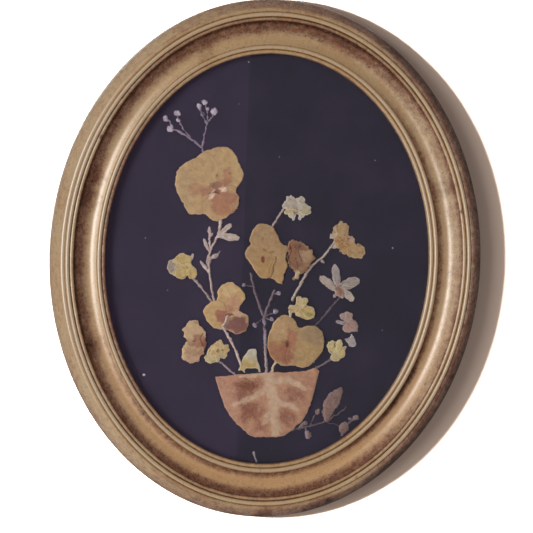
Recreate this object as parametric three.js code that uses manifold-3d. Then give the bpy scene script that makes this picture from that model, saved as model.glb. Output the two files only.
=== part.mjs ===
// A pressed-flower picture in an oval gilt frame, to hang on a wall.
// X runs to the right and Z up as the picture hangs, and its front faces -Y.
// The origin is where the wall nail bears in the hanger, at the plane of the wall.
import * as THREE from "three";
import { mergeVertices } from "three/addons/utils/BufferGeometryUtils.js";
import Module from "manifold-3d";

const wasm = await Module();
wasm.setup();

// ---- Driving dimensions, in millimetres ----
// The oval. Every ring of the moulding is an ellipse whose half axes are both shorter
// than the outer ones by the same distance, as an oval turning lathe makes it.
const HALF_WIDTH = 127.5;
const HALF_HEIGHT = 152;
const STEPS_AROUND = 64;

// Depths are heights above the back of the moulding, which is at zero.
const MOULDING_DEPTH = 20;
const SIGHT_OFFSET = 32.1;
const RABBET_OFFSET = 25;
const LIP_BACK = 10.4;
const GAP = 0.3;
const EDGE_CLEARANCE = 0.8;

// What lies in the rabbet, front to back.
const GLASS_THICKNESS = 2;
const SPECIMEN_THICKNESS = 0.4;
const SPECIMEN_LAYERS = 3;
const CARD_THICKNESS = 1.2;
const BACKING_THICKNESS = 2.8;
const POINT_THICKNESS = 0.5;

// Glazier's points, driven flat into the rabbet wall behind the backing.
const POINT_LENGTH = 9;
const POINT_WIDTH = 6;
const POINT_BITE = 4;
const POINT_ANGLES = [0, 52, 128, 180, 232, 308];

// Sawtooth hanger and its two pins, on the back of the top of the moulding.
const HANGER_LENGTH = 44;
const HANGER_HEIGHT = 8;
const HANGER_THICKNESS = 1;
const HANGER_OFFSET = 12.5;
const HANGER_TEETH = 9;
const TOOTH_DEPTH = 1.4;
const TOOTHED_LENGTH = 27;
const PIN_SPACING = 36;
const PIN_RADIUS = 0.8;
const PIN_LENGTH = 9;
const PIN_HEAD_RADIUS = 2;
const PIN_HEAD_HEIGHT = 0.8;
const PIN_SIDES = 16;

const HANGER_BACK = GAP + HANGER_THICKNESS;
const WALL_STANDOFF = HANGER_BACK + PIN_HEAD_HEIGHT;
const HANGER_CENTRE = HALF_HEIGHT - HANGER_OFFSET;
const NAIL_NOTCH = HANGER_CENTRE - HANGER_HEIGHT / 2 + TOOTH_DEPTH;

const GLASS_BACK = LIP_BACK - GAP - GLASS_THICKNESS;
const LAYER_STEP = SPECIMEN_THICKNESS + GAP;
const CARD_FRONT = GLASS_BACK - SPECIMEN_LAYERS * LAYER_STEP - GAP;
const CARD_BACK = CARD_FRONT - CARD_THICKNESS;
const BACKING_BACK = CARD_BACK - GAP - BACKING_THICKNESS;
const POINT_BACK = BACKING_BACK - GAP - POINT_THICKNESS;

// Smooth outlines take this many straight steps between two of their points.
const STEPS_PER_SPAN = 2;
const OVAL_STEPS = 32;
const BUD_SIDES = 8;

// ---- Finishes ----
const finish = (color, roughness, metalness = 0) => ({ color, roughness, metalness });
const ANTIQUE_GOLD = finish(0xa98a5c, 0.42, 0.55);
const CLEAR_GLASS = finish(0xe8eeea, 0.05);
const DARK_CARD = finish(0x2e2838, 0.9);
const HARDBOARD = finish(0x6b4a32, 0.85);
const ZINC = finish(0x9a9c9e, 0.45, 0.9);
const BRASSED_STEEL = finish(0xb08d4a, 0.4, 0.9);
const OCHRE_PETAL = finish(0xb89a68, 0.8);
const YELLOW_PETAL = finish(0xcdb67c, 0.8);
const CREAM_PETAL = finish(0xd8cfae, 0.8);
const BROWN_PETAL = finish(0xa17a55, 0.85);
const MAUVE_PETAL = finish(0xa08882, 0.85);
const WHITE_PETAL = finish(0xbdb3a4, 0.85);
const ROSE_LEAF = finish(0xb5835f, 0.8);
const PALE_STEM = finish(0xb3a08e, 0.85);
const LILAC_TWIG = finish(0x8f8494, 0.85);

// ---- Small tools ----
const picture = new THREE.Group();
picture.position.set(0, -WALL_STANDOFF, -NAIL_NOTCH);

function add(name, geometry, look) {
  const mesh = new THREE.Mesh(geometry, new THREE.MeshStandardMaterial(look));
  mesh.name = name;
  picture.add(mesh);
  return mesh;
}

function solidOf(geometry) {
  const bare = geometry.clone();
  bare.deleteAttribute("normal");
  bare.deleteAttribute("uv");
  const merged = mergeVertices(bare, 1e-4);
  return new wasm.Manifold(new wasm.Mesh({
    numProp: 3,
    vertProperties: Float32Array.from(merged.attributes.position.array),
    triVerts: Uint32Array.from(merged.index.array),
  }));
}

function geometryOf(solid) {
  const mesh = solid.getMesh();
  const geometry = new THREE.BufferGeometry();
  geometry.setAttribute("position", new THREE.BufferAttribute(mesh.vertProperties, 3));
  geometry.setIndex(new THREE.BufferAttribute(mesh.triVerts, 1));
  geometry.computeVertexNormals();
  return geometry;
}

// A flat plate in the plane of the picture: its back is `back` above the moulding's back.
function plate(shape, thickness, back, curveSegments = STEPS_PER_SPAN) {
  const geometry = new THREE.ExtrudeGeometry(shape, { depth: thickness, bevelEnabled: false, curveSegments });
  geometry.rotateX(Math.PI / 2);
  geometry.translate(0, -back, 0);
  return geometry;
}

function oval(offset) {
  const shape = new THREE.Shape();
  shape.absellipse(0, 0, HALF_WIDTH - offset, HALF_HEIGHT - offset, 0, 2 * Math.PI);
  return shape;
}

// ---- Moulding ----
// A round-topped bead between two distances from the outer edge.
function bead(from, to, low, crest) {
  const points = [];
  for (const turn of [150, 90, 30]) {
    const angle = THREE.MathUtils.degToRad(turn);
    const middle = (from + to) / 2;
    const reach = (to - from) / 2;
    points.push([middle + reach * Math.cos(angle), low + (crest - low) * Math.sin(angle)]);
  }
  return points;
}

// The hollow between the outer beads and the sight beads, a sagging curve.
function cove(start, end, sag, steps) {
  const points = [];
  for (let step = 0; step <= steps; step += 1) {
    const share = step / steps;
    const drop = sag * Math.sin(Math.PI * share ** 1.15);
    points.push([
      THREE.MathUtils.lerp(start[0], end[0], share),
      THREE.MathUtils.lerp(start[1], end[1], share) - drop,
    ]);
  }
  return points;
}

// Pairs of distance in from the outer edge, and height above the back.
const MOULDING_PROFILE = [
  [1.2, 0],
  [0.2, 1.2],
  [0, 4],
  [0.6, 9],
  [2, 14],
  [4, 17.4],
  ...bead(4.6, 8.1, 17.6, 19.2),
  ...bead(8.1, 11, 18.2, MOULDING_DEPTH),
  ...bead(11, 13.6, 18, 19.7),
  ...cove([13.9, 17.6], [26.7, 13.8], 3.6, 6),
  ...bead(26.9, 29.6, 13.2, 14.9),
  ...bead(29.6, 32, 12.4, 13.7),
  [SIGHT_OFFSET, 12],
  [SIGHT_OFFSET, LIP_BACK],
  [RABBET_OFFSET, LIP_BACK],
  [RABBET_OFFSET, 0],
];

function mouldingRing() {
  const profile = MOULDING_PROFILE.map(([offset, height]) => new THREE.Vector2(HALF_WIDTH - offset, height));
  profile.push(profile[0].clone());
  const ring = new THREE.LatheGeometry(profile, STEPS_AROUND);
  const position = ring.attributes.position;
  for (let index = 0; index < position.count; index += 1) {
    const x = position.getX(index);
    const z = position.getZ(index);
    position.setZ(index, z + (HALF_HEIGHT - HALF_WIDTH) * z / Math.hypot(x, z));
  }
  ring.rotateX(Math.PI);
  return ring;
}

// ---- Glazier's points ----
// The place on the rabbet wall at an angle round the oval, and the direction into the wood.
function rabbetPlace(degrees) {
  const angle = THREE.MathUtils.degToRad(degrees);
  const across = HALF_WIDTH - RABBET_OFFSET;
  const along = HALF_HEIGHT - RABBET_OFFSET;
  const place = new THREE.Vector2(across * Math.cos(angle), along * Math.sin(angle));
  const outward = new THREE.Vector2(along * Math.cos(angle), across * Math.sin(angle));
  return { place, turn: outward.angle() };
}

// A blunt plate with one pointed end, which is the end in the wood. Growth widens it to a slot.
function pointGeometry(degrees, growth) {
  const half = POINT_WIDTH / 2 + growth;
  const tip = POINT_BITE + growth;
  const shape = new THREE.Shape();
  shape.moveTo(POINT_BITE - POINT_LENGTH - growth, -half);
  shape.lineTo(0, -half);
  shape.lineTo(tip, 0);
  shape.lineTo(0, half);
  shape.lineTo(POINT_BITE - POINT_LENGTH - growth, half);
  const { place, turn } = rabbetPlace(degrees);
  const geometry = new THREE.ExtrudeGeometry(shape, { depth: POINT_THICKNESS + 2 * growth, bevelEnabled: false });
  geometry.rotateZ(turn);
  geometry.translate(place.x, place.y, 0);
  geometry.rotateX(Math.PI / 2);
  geometry.translate(0, growth - POINT_BACK, 0);
  return geometry;
}

// ---- Sawtooth hanger ----
function pinCentre(side) {
  return new THREE.Vector2(side * PIN_SPACING / 2, HANGER_CENTRE);
}

function hangerShape() {
  const left = -HANGER_LENGTH / 2;
  const bottom = HANGER_CENTRE - HANGER_HEIGHT / 2;
  const top = HANGER_CENTRE + HANGER_HEIGHT / 2;
  const pitch = TOOTHED_LENGTH / HANGER_TEETH;
  const shape = new THREE.Shape();
  shape.moveTo(left, bottom);
  shape.lineTo(-TOOTHED_LENGTH / 2, bottom);
  for (let tooth = 0; tooth < HANGER_TEETH; tooth += 1) {
    const start = -TOOTHED_LENGTH / 2 + tooth * pitch;
    shape.lineTo(start + pitch / 2, bottom + TOOTH_DEPTH);
    shape.lineTo(start + pitch, bottom);
  }
  shape.lineTo(-left, bottom);
  shape.lineTo(-left, top);
  shape.lineTo(left, top);
  for (const side of [-1, 1]) {
    const centre = pinCentre(side);
    const hole = new THREE.Path();
    hole.absarc(centre.x, centre.y, PIN_RADIUS + GAP, 0, 2 * Math.PI, true);
    shape.holes.push(hole);
  }
  return shape;
}

// A pin with a low domed head, turned about its own axis: the head lies behind the hanger.
function pinGeometry(side, growth) {
  const headBase = -HANGER_BACK - GAP / 2;
  const profile = [
    new THREE.Vector2(0, PIN_LENGTH + growth),
    new THREE.Vector2(PIN_RADIUS + growth, PIN_LENGTH - 2),
    new THREE.Vector2(PIN_RADIUS + growth, headBase),
    new THREE.Vector2(PIN_HEAD_RADIUS, headBase),
    new THREE.Vector2(PIN_HEAD_RADIUS * 0.75, headBase - PIN_HEAD_HEIGHT * 0.6),
    new THREE.Vector2(0, -WALL_STANDOFF),
  ];
  const pin = new THREE.LatheGeometry(profile.reverse(), PIN_SIDES);
  const centre = pinCentre(side);
  pin.rotateX(Math.PI);
  pin.translate(centre.x, 0, centre.y);
  return pin;
}

// ---- Pressed plants ----
const vectors = (points) => points.map(([x, z]) => new THREE.Vector2(x, z));

// A closed outline that runs smoothly through its points.
function blob(points) {
  const [first, ...rest] = vectors(points);
  const shape = new THREE.Shape();
  shape.moveTo(first.x, first.y);
  shape.splineThru([...rest, first]);
  return shape;
}

// A flat stem along a smooth line, as wide as stated at its start and at its end.
function stem(points, startWidth, endWidth = startWidth) {
  const curve = new THREE.SplineCurve(vectors(points));
  const steps = (points.length - 1) * STEPS_PER_SPAN;
  const left = [];
  const right = [];
  for (let step = 0; step <= steps; step += 1) {
    const share = step / steps;
    const place = curve.getPoint(share);
    const along = curve.getTangent(share);
    const half = THREE.MathUtils.lerp(startWidth, endWidth, share) / 2;
    left.push(new THREE.Vector2(place.x - along.y * half, place.y + along.x * half));
    right.push(new THREE.Vector2(place.x + along.y * half, place.y - along.x * half));
  }
  return new THREE.Shape([...left.reverse(), ...right]);
}

function bud(x, z, radius) {
  const rim = [];
  for (let side = 0; side < BUD_SIDES; side += 1) {
    const angle = 2 * Math.PI * side / BUD_SIDES;
    rim.push(new THREE.Vector2(x + radius * Math.cos(angle), z + radius * Math.sin(angle)));
  }
  return new THREE.Shape(rim);
}

// A leaf or a narrow petal, pointed at both ends.
function blade(base, tip, width) {
  const [from, to] = vectors([base, tip]);
  const middle = from.clone().lerp(to, 0.5);
  const side = to.clone().sub(from).normalize().rotateAround(new THREE.Vector2(), Math.PI / 2);
  const left = middle.clone().addScaledVector(side, width);
  const right = middle.clone().addScaledVector(side, -width);
  const shape = new THREE.Shape();
  shape.moveTo(from.x, from.y);
  shape.quadraticCurveTo(right.x, right.y, to.x, to.y);
  shape.quadraticCurveTo(left.x, left.y, from.x, from.y);
  return shape;
}

// One pressed plant: its shapes lie in one layer above the card and are joined in one solid.
function pressed(name, layer, look, shapes) {
  const back = CARD_FRONT + GAP + layer * LAYER_STEP;
  const [first, ...rest] = shapes.map((shape) => solidOf(plate(shape, SPECIMEN_THICKNESS, back)));
  const whole = rest.reduce((sum, next) => sum.add(next), first);
  add(name, geometryOf(whole), look);
}

// ---- The frame and what it holds ----
const slots = POINT_ANGLES.map((degrees) => solidOf(pointGeometry(degrees, GAP)));
const pinHoles = [-1, 1].map((side) => solidOf(pinGeometry(side, GAP)));
const moulding = [...slots, ...pinHoles].reduce((wood, cut) => wood.subtract(cut), solidOf(mouldingRing()));
add("moulding", geometryOf(moulding), ANTIQUE_GOLD);

const panel = oval(RABBET_OFFSET + EDGE_CLEARANCE);
const glass = add("glass", plate(panel, GLASS_THICKNESS, GLASS_BACK, OVAL_STEPS), CLEAR_GLASS);
glass.material.transparent = true;
glass.material.opacity = 0.25;
add("ground_card", plate(panel, CARD_THICKNESS, CARD_BACK, OVAL_STEPS), DARK_CARD);
add("backing_board", plate(panel, BACKING_THICKNESS, BACKING_BACK, OVAL_STEPS), HARDBOARD);

POINT_ANGLES.forEach((degrees, index) => {
  add(`glazier_point_${index + 1}`, pointGeometry(degrees, 0), ZINC);
});
add("sawtooth_hanger", plate(hangerShape(), HANGER_THICKNESS, -HANGER_BACK, PIN_SIDES / 2), BRASSED_STEEL);
add("hanger_pin_left", pinGeometry(-1, 0), BRASSED_STEEL);
add("hanger_pin_right", pinGeometry(1, 0), BRASSED_STEEL);

// ---- The pressed plants, in millimetres right of and above the oval's centre ----
const STEM_LAYER = 0;
const FLOWER_LAYER = 1;
const TOP_LAYER = 2;

pressed("pot_leaf", FLOWER_LAYER, ROSE_LEAF, [
  new THREE.Shape(vectors([
    [-28.4, -70], [-25, -80], [-20.5, -90], [-15, -97], [-10, -101.2], [-5.7, -104.4], [2, -104.8],
    [14.2, -103.3], [20, -98.5], [25, -93.5], [28, -86.6], [31, -75.9], [33.1, -65], [30.9, -63.5],
    [24.7, -65.2], [1, -66.8],
  ])),
]);
pressed("pansy_large", FLOWER_LAYER, OCHRE_PETAL, [
  blob([
    [-39.8, 61.5], [-32.5, 64.1], [-26.3, 64.6], [-21.7, 61.6], [-18.6, 55], [-15.7, 47.8], [-19.9, 40.3],
    [-18, 35], [-19, 29], [-22.8, 25.3], [-27.9, 22.3], [-32.6, 21.2], [-38.3, 25.1], [-46.9, 25],
    [-50.8, 31.4], [-55.2, 39.1], [-55.5, 46.4], [-53.1, 52.2], [-45.9, 56.9],
  ]),
]);
pressed("pansy_left", FLOWER_LAYER, OCHRE_PETAL, [
  blob([
    [-32.2, -25.6], [-28.9, -25.2], [-28, -17.9], [-21.9, -14.2], [-16.8, -16.5], [-12, -22.5], [-16, -30.2],
    [-11.1, -33.1], [-9.8, -37.6], [-12.1, -43], [-16.9, -44.5], [-21.5, -42.4], [-28.9, -41.4],
    [-32.9, -38.8], [-36.6, -31.6],
  ]),
]);
pressed("pansy_centre", FLOWER_LAYER, OCHRE_PETAL, [
  blob([
    [-10, 8.8], [-10.7, 12.9], [-7, 19.6], [-2.8, 20.5], [2.6, 18.6], [8.2, 9.3], [11.4, 7.5], [10.9, 0.5],
    [12.2, -3.6], [9.9, -9.5], [9.1, -14.7], [2.3, -10.7], [-1.9, -11.4], [-5.4, -9.4], [-9.3, -3.8],
    [-13.5, 2.9],
  ]),
]);
pressed("pansy_heart", FLOWER_LAYER, OCHRE_PETAL, [
  blob([
    [4.8, -37.7], [9, -33.2], [13.9, -33.1], [17.9, -36], [20.4, -39.8], [27.8, -38.2], [33.5, -41.3],
    [35.4, -46.7], [34.2, -53.8], [25.5, -63], [18.3, -62.1], [11.1, -62.3], [5.5, -58.9], [2.3, -53],
    [2.2, -45.4],
  ]),
]);
pressed("flower_folded", TOP_LAYER, BROWN_PETAL, [
  blob([
    [-48.5, -43.1], [-45.8, -38.6], [-41.4, -37.3], [-38.2, -40.1], [-34.3, -45.6], [-35, -49.5],
    [-34.3, -53.4], [-37.3, -58.5], [-39.4, -61.7], [-45, -61.7], [-48.4, -59.5], [-48.6, -55.5],
    [-46.6, -49.5],
  ]),
]);
pressed("flower_brown", TOP_LAYER, BROWN_PETAL, [
  blob([
    [12.2, 8.8], [15.1, 11.8], [19.8, 10.2], [25.5, 6.2], [27.6, 2.6], [25.4, -3.2], [21.3, -7.6],
    [16.1, -11.9], [15.7, -7.2], [13, -2.6], [11.7, 1.1],
  ]),
]);
pressed("flower_cream_top", FLOWER_LAYER, CREAM_PETAL, [
  blob([
    [8.2, 31.6], [11.5, 36.1], [15.7, 36.3], [18.8, 37.4], [20.7, 33.3], [24.3, 31.4], [24.2, 28.5],
    [21.6, 26.3], [18.9, 24.5], [16.4, 27.3], [14.7, 23.4], [9.9, 28.3],
  ]),
]);
pressed("flower_orange", FLOWER_LAYER, OCHRE_PETAL, [
  blob([
    [40.1, 21.7], [45.4, 22.7], [47.9, 19], [47.5, 15.3], [51, 14.4], [51.7, 10.6], [55.8, 9.3],
    [56.7, 5.6], [55.5, 2.4], [50.4, 3.2], [44.9, 6.8], [39.6, 8.8], [39.1, 12.4], [37.4, 14.7],
  ]),
]);
pressed("flower_white_star", FLOWER_LAYER, WHITE_PETAL, [
  bud(43.4, -17.2, 3.2),
  blade([42.8, -18], [40.2, -2.6], 4.8),
  blade([43.6, -18.6], [31.4, -8.6], 4.8),
  blade([43.2, -16.6], [54.8, -11], 5.4),
  blade([44.4, -16], [52, -22.9], 4.2),
]);
pressed("flower_yellow_left", FLOWER_LAYER, YELLOW_PETAL, [
  blob([
    [-54.2, -1.1], [-50.3, 2.1], [-46.1, 0.3], [-43.7, 0.8], [-44.7, -3.9], [-41.6, -7.1], [-41.7, -11.6],
    [-43.9, -12.8], [-47.1, -10.2], [-50.7, -12.3], [-57.2, -9.8], [-58.7, -6.5], [-56.9, -3.1],
  ]),
]);
pressed("flower_yellow_low_left", FLOWER_LAYER, YELLOW_PETAL, [
  blob([
    [-34.2, -57.9], [-31.8, -52.5], [-26.1, -48.4], [-24.5, -51.4], [-20.8, -51.3], [-21.3, -55],
    [-22.9, -58.7], [-26.3, -58], [-27.6, -60.5], [-30.5, -58.8],
  ]),
]);
pressed("flower_yellow_centre", TOP_LAYER, YELLOW_PETAL, [
  blob([
    [17.9, -22.1], [20.7, -21.6], [21.9, -23.4], [24.6, -22.7], [24.7, -26.8], [29.3, -29.4], [27.2, -34.9],
    [19.4, -33.2], [16.6, -30.7], [14.5, -32.8], [13.9, -28.8], [17.8, -26],
  ]),
]);
pressed("flower_yellow_right", FLOWER_LAYER, YELLOW_PETAL, [
  blob([
    [37.1, -49.6], [38.6, -47.2], [41.4, -47.5], [45.2, -46.4], [46.4, -49.9], [48.3, -51.4], [47, -55.7],
    [43.5, -57.8], [40.2, -58.3], [40.6, -55.4], [38, -52.6],
  ]),
]);
pressed("flower_cream_rim", FLOWER_LAYER, CREAM_PETAL, [
  blob([
    [-8.8, -53.4], [-4.7, -53.2], [-4.1, -58.1], [-2.4, -62.9], [-1.6, -66.4], [-2.9, -66], [-3.5, -64.5],
    [-10.3, -64.7], [-11, -67.2], [-12.6, -65.6], [-15, -66.2], [-13.4, -62.4], [-12.3, -58.3],
  ]),
]);
pressed("flower_pink", FLOWER_LAYER, MAUVE_PETAL, [
  blob([
    [44.4, -32.2], [46.8, -30.1], [50.4, -29.9], [50.9, -32.9], [54.2, -35.5], [55.1, -40.7], [48.3, -40.3],
    [46.8, -37.4], [42.6, -36.4], [46.6, -34.9],
  ]),
]);
pressed("bud_grey", FLOWER_LAYER, WHITE_PETAL, [
  blob([[48.2, -46.6], [51.6, -43.8], [53.2, -48.6], [52.1, -50.2]]),
]);

pressed("stem_leafy", STEM_LAYER, PALE_STEM, [
  stem([[-28.6, 24], [-29, 14], [-33.3, 5.4], [-34.4, -3], [-33.3, -12.5], [-30.2, -27]], 1.5, 1),
  stem([[-33.4, 4.4], [-34.4, 9], [-34.6, 17.4]], 1, 0.7),
  blade([-30.6, 12], [-17, 12.1], 2.6),
  blade([-30.4, 10.6], [-22.3, 18.8], 1.9),
  blade([-33.6, 1.4], [-37.6, 9.4], 1.5),
  blade([-35, -2.4], [-28.6, 2.8], 1.5),
  blade([-33.2, -10], [-39, -2.6], 1.5),
]);
pressed("stem_yellow_left", STEM_LAYER, PALE_STEM, [
  stem([[-44.6, -11], [-39.9, -16], [-32.4, -25.2]], 1, 0.8),
]);
pressed("stem_pansy_left", TOP_LAYER, PALE_STEM, [
  stem([[-22.1, -33.4], [-23.4, -37.4], [-24.8, -40.3], [-22.6, -44.1], [-17.7, -52.4], [-13.4, -63]], 1.3, 1.1),
]);
pressed("stem_low_left", STEM_LAYER, PALE_STEM, [
  stem([[-28.2, -59], [-22.4, -63.8], [-15.4, -69.6]], 0.9),
]);
pressed("stem_cream_top", STEM_LAYER, PALE_STEM, [
  stem([[10, 32.4], [7, 27.1], [1.4, 17.8]], 0.9, 1.1),
]);
pressed("stem_orange", STEM_LAYER, PALE_STEM, [
  stem([[40.4, 12.6], [32.9, 2.2], [25.7, -4.3], [15.5, -23.8]], 0.9, 1.4),
  blade([31.6, 0.6], [34.4, -1.2], 1.3),
]);
pressed("stem_white_star", STEM_LAYER, LILAC_TWIG, [
  stem([[45.2, -19.6], [39, -27.5], [29.6, -38.8]], 0.7, 0.6),
]);
pressed("stem_yellow_right", STEM_LAYER, LILAC_TWIG, [
  stem([[41, -57], [35.8, -60.9], [31, -63.4]], 0.8, 1.1),
]);
pressed("stem_heart", STEM_LAYER, PALE_STEM, [
  stem([[7.6, -58.6], [4.2, -68.4]], 1.2),
]);
pressed("twig_forked", STEM_LAYER, LILAC_TWIG, [
  stem([[2.3, -69], [1, -55.8], [-0.6, -34.1]], 1.5, 1.2),
  stem([[-0.6, -34.8], [-5.1, -23.9], [-7.5, -16.3], [-9.4, -8.8]], 1.1, 0.8),
  stem([[-0.6, -34.8], [1.6, -26.9], [5.1, -18.1]], 1.1, 0.9),
  stem([[-13.3, -15.7], [-7.2, -16.6]], 0.4),
  stem([[7.4, -20], [4.2, -20.4]], 0.4),
  stem([[6.1, -30.8], [-0.2, -33.6]], 0.4),
  stem([[4.1, -35.6], [-0.4, -34.2]], 0.4),
  stem([[-6.1, -39.1], [-0.7, -34.3]], 0.4),
  bud(-13.3, -15.7, 1),
  bud(7.4, -20, 1.1),
  bud(6.1, -30.7, 1.4),
  bud(4.1, -35.6, 1.2),
  bud(-6.1, -39.1, 1.2),
]);
pressed("sprig_top", STEM_LAYER, LILAC_TWIG, [
  stem([[-39.8, 60.2], [-41.4, 64.3], [-51.7, 71.2], [-59.4, 74.4]], 1, 0.7),
  stem([[-43.6, 65.6], [-50.7, 72.6], [-54.9, 79], [-56, 83.2]], 0.5, 0.4),
  stem([[-40.6, 62], [-39.6, 71.4], [-38.4, 77.7]], 0.9, 0.7),
  stem([[-38.4, 77.4], [-41.1, 83.3], [-43.2, 87.9]], 0.5, 0.4),
  stem([[-38.4, 77.4], [-38.2, 84.5], [-40.3, 90.2]], 0.5, 0.4),
  stem([[-38.4, 77.4], [-35.6, 82], [-34.3, 85.2]], 0.5, 0.4),
  stem([[-59.6, 74], [-59.2, 77], [-62.4, 79.9]], 0.9, 0.4),
  bud(-62.4, 79.9, 1.5),
  bud(-56, 83.2, 1.6),
  bud(-59.8, 73.9, 1.9),
  bud(-54.9, 79, 1),
  bud(-43.2, 87.9, 1.4),
  bud(-40.3, 90.4, 1.4),
  bud(-41.1, 83.3, 0.8),
  bud(-38.3, 86.4, 0.8),
  bud(-34.3, 85.2, 2),
]);
pressed("sprig_low_right", STEM_LAYER, MAUVE_PETAL, [
  stem([[17.6, -100.2], [26.5, -98.4], [33.4, -96.4], [38.3, -94.7], [43.9, -91.2], [50.3, -86]], 0.9, 0.5),
  stem([[38.3, -94.8], [43, -96], [48, -97.6]], 0.6, 0.5),
  stem([[49.2, -98.5], [51.6, -95.4], [56.3, -92.3]], 0.9, 0.6),
  stem([[24.4, -98.8], [26.3, -96]], 0.7),
  stem([[26.4, -98.4], [28.3, -103]], 0.6),
  stem([[29, -97.6], [30.8, -93.2], [33.1, -88.9]], 0.4),
  blob([[38.4, -95.4], [36.1, -89.5], [36.7, -83.9], [39.6, -78.8], [43.9, -75.6], [47.5, -75], [47.2, -79.9],
    [43.7, -88.1]]),
  bud(26.3, -96, 1.1),
  bud(33.1, -88.9, 1.5),
  bud(28.3, -103, 1.7),
  bud(49.2, -98.3, 2.9),
  bud(56.3, -92.3, 1.3),
]);
pressed("stem_scrap", STEM_LAYER, WHITE_PETAL, [
  stem([[-4, -113.8], [-3.1, -117.1], [-1.8, -119.4]], 1.1, 0.5),
]);

const model = new THREE.Group();
model.add(picture);

export default model;
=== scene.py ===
"""Looks of a pressed-flower picture in an oval gilt frame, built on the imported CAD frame.

Blender's units are metres. X runs to the right, Z up, and the picture faces -Y.
Places on the picture are given in millimetres right of and above the oval's centre,
and heights in millimetres in front of the moulding's back.
"""

import math

import bpy
import numpy as np
from mathutils import Matrix, Vector, noise
from mathutils.geometry import delaunay_2d_cdt

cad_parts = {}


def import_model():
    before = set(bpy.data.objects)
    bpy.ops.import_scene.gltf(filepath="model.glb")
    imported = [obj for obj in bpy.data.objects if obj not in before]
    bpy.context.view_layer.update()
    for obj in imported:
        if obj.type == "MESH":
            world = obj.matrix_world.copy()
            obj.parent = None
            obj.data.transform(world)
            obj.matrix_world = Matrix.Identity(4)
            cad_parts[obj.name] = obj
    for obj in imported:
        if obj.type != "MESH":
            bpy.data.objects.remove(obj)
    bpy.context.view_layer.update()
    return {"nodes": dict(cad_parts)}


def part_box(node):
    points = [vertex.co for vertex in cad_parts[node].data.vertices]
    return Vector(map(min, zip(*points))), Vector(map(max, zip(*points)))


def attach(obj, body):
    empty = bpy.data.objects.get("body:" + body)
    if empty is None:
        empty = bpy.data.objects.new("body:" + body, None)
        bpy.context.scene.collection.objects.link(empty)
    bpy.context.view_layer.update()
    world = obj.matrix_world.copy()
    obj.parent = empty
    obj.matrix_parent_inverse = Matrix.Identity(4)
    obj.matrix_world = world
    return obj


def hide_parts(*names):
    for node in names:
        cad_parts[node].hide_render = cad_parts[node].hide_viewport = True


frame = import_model()

MM = 0.001
BODY = "root"
SEED = 7
rng = np.random.default_rng(SEED)

# ---- The picture's own frame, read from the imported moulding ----
low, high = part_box("moulding")
CENTRE = Vector(((low.x + high.x) / 2, high.y, (low.z + high.z) / 2))
HALF_WIDTH = (high.x - low.x) / 2 / MM
HALF_HEIGHT = (high.z - low.z) / 2 / MM


def world(x, z, height):
    """Points in metres from places and heights in millimetres."""
    x, z, height = np.broadcast_arrays(x, z, height)
    return np.column_stack([CENTRE.x + x * MM, CENTRE.y - height * MM, CENTRE.z + z * MM])


def height_of(node):
    """The back and the front of a CAD node, in millimetres in front of the moulding's back."""
    lowest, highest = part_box(node)
    return (CENTRE.y - highest.y) / MM, (CENTRE.y - lowest.y) / MM


def linear(red, green, blue):
    """A colour given in the 0 to 255 steps of sRGB, as linear light."""
    values = np.array([red, green, blue], float) / 255
    bright = ((values + 0.055) / 1.055) ** 2.4
    return (*np.where(values <= 0.04045, values / 12.92, bright), 1.0)


def smooth(value, start, end):
    """0 before start and 1 after end, with a smooth rise between them."""
    share = np.clip((value - start) / (end - start), 0, 1)
    return share * share * (3 - 2 * share)


def cloud(points, size, shift=0.0):
    """Smooth noise from -1 to 1 at each point, with features of about `size` millimetres."""
    return np.array([noise.noise(Vector((*(p / size), 0)[:3]) + Vector((shift, 0, 0))) for p in points])


def line_distance(points, start, end):
    """Each point's distance to the line from start to end, and the share of it where that is."""
    along = end - start
    share = np.clip((points - start) @ along / max(along @ along, 1e-12), 0, 1)
    away = points - start - share[:, None] * along
    return np.hypot(away[:, 0], away[:, 1]), share


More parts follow.
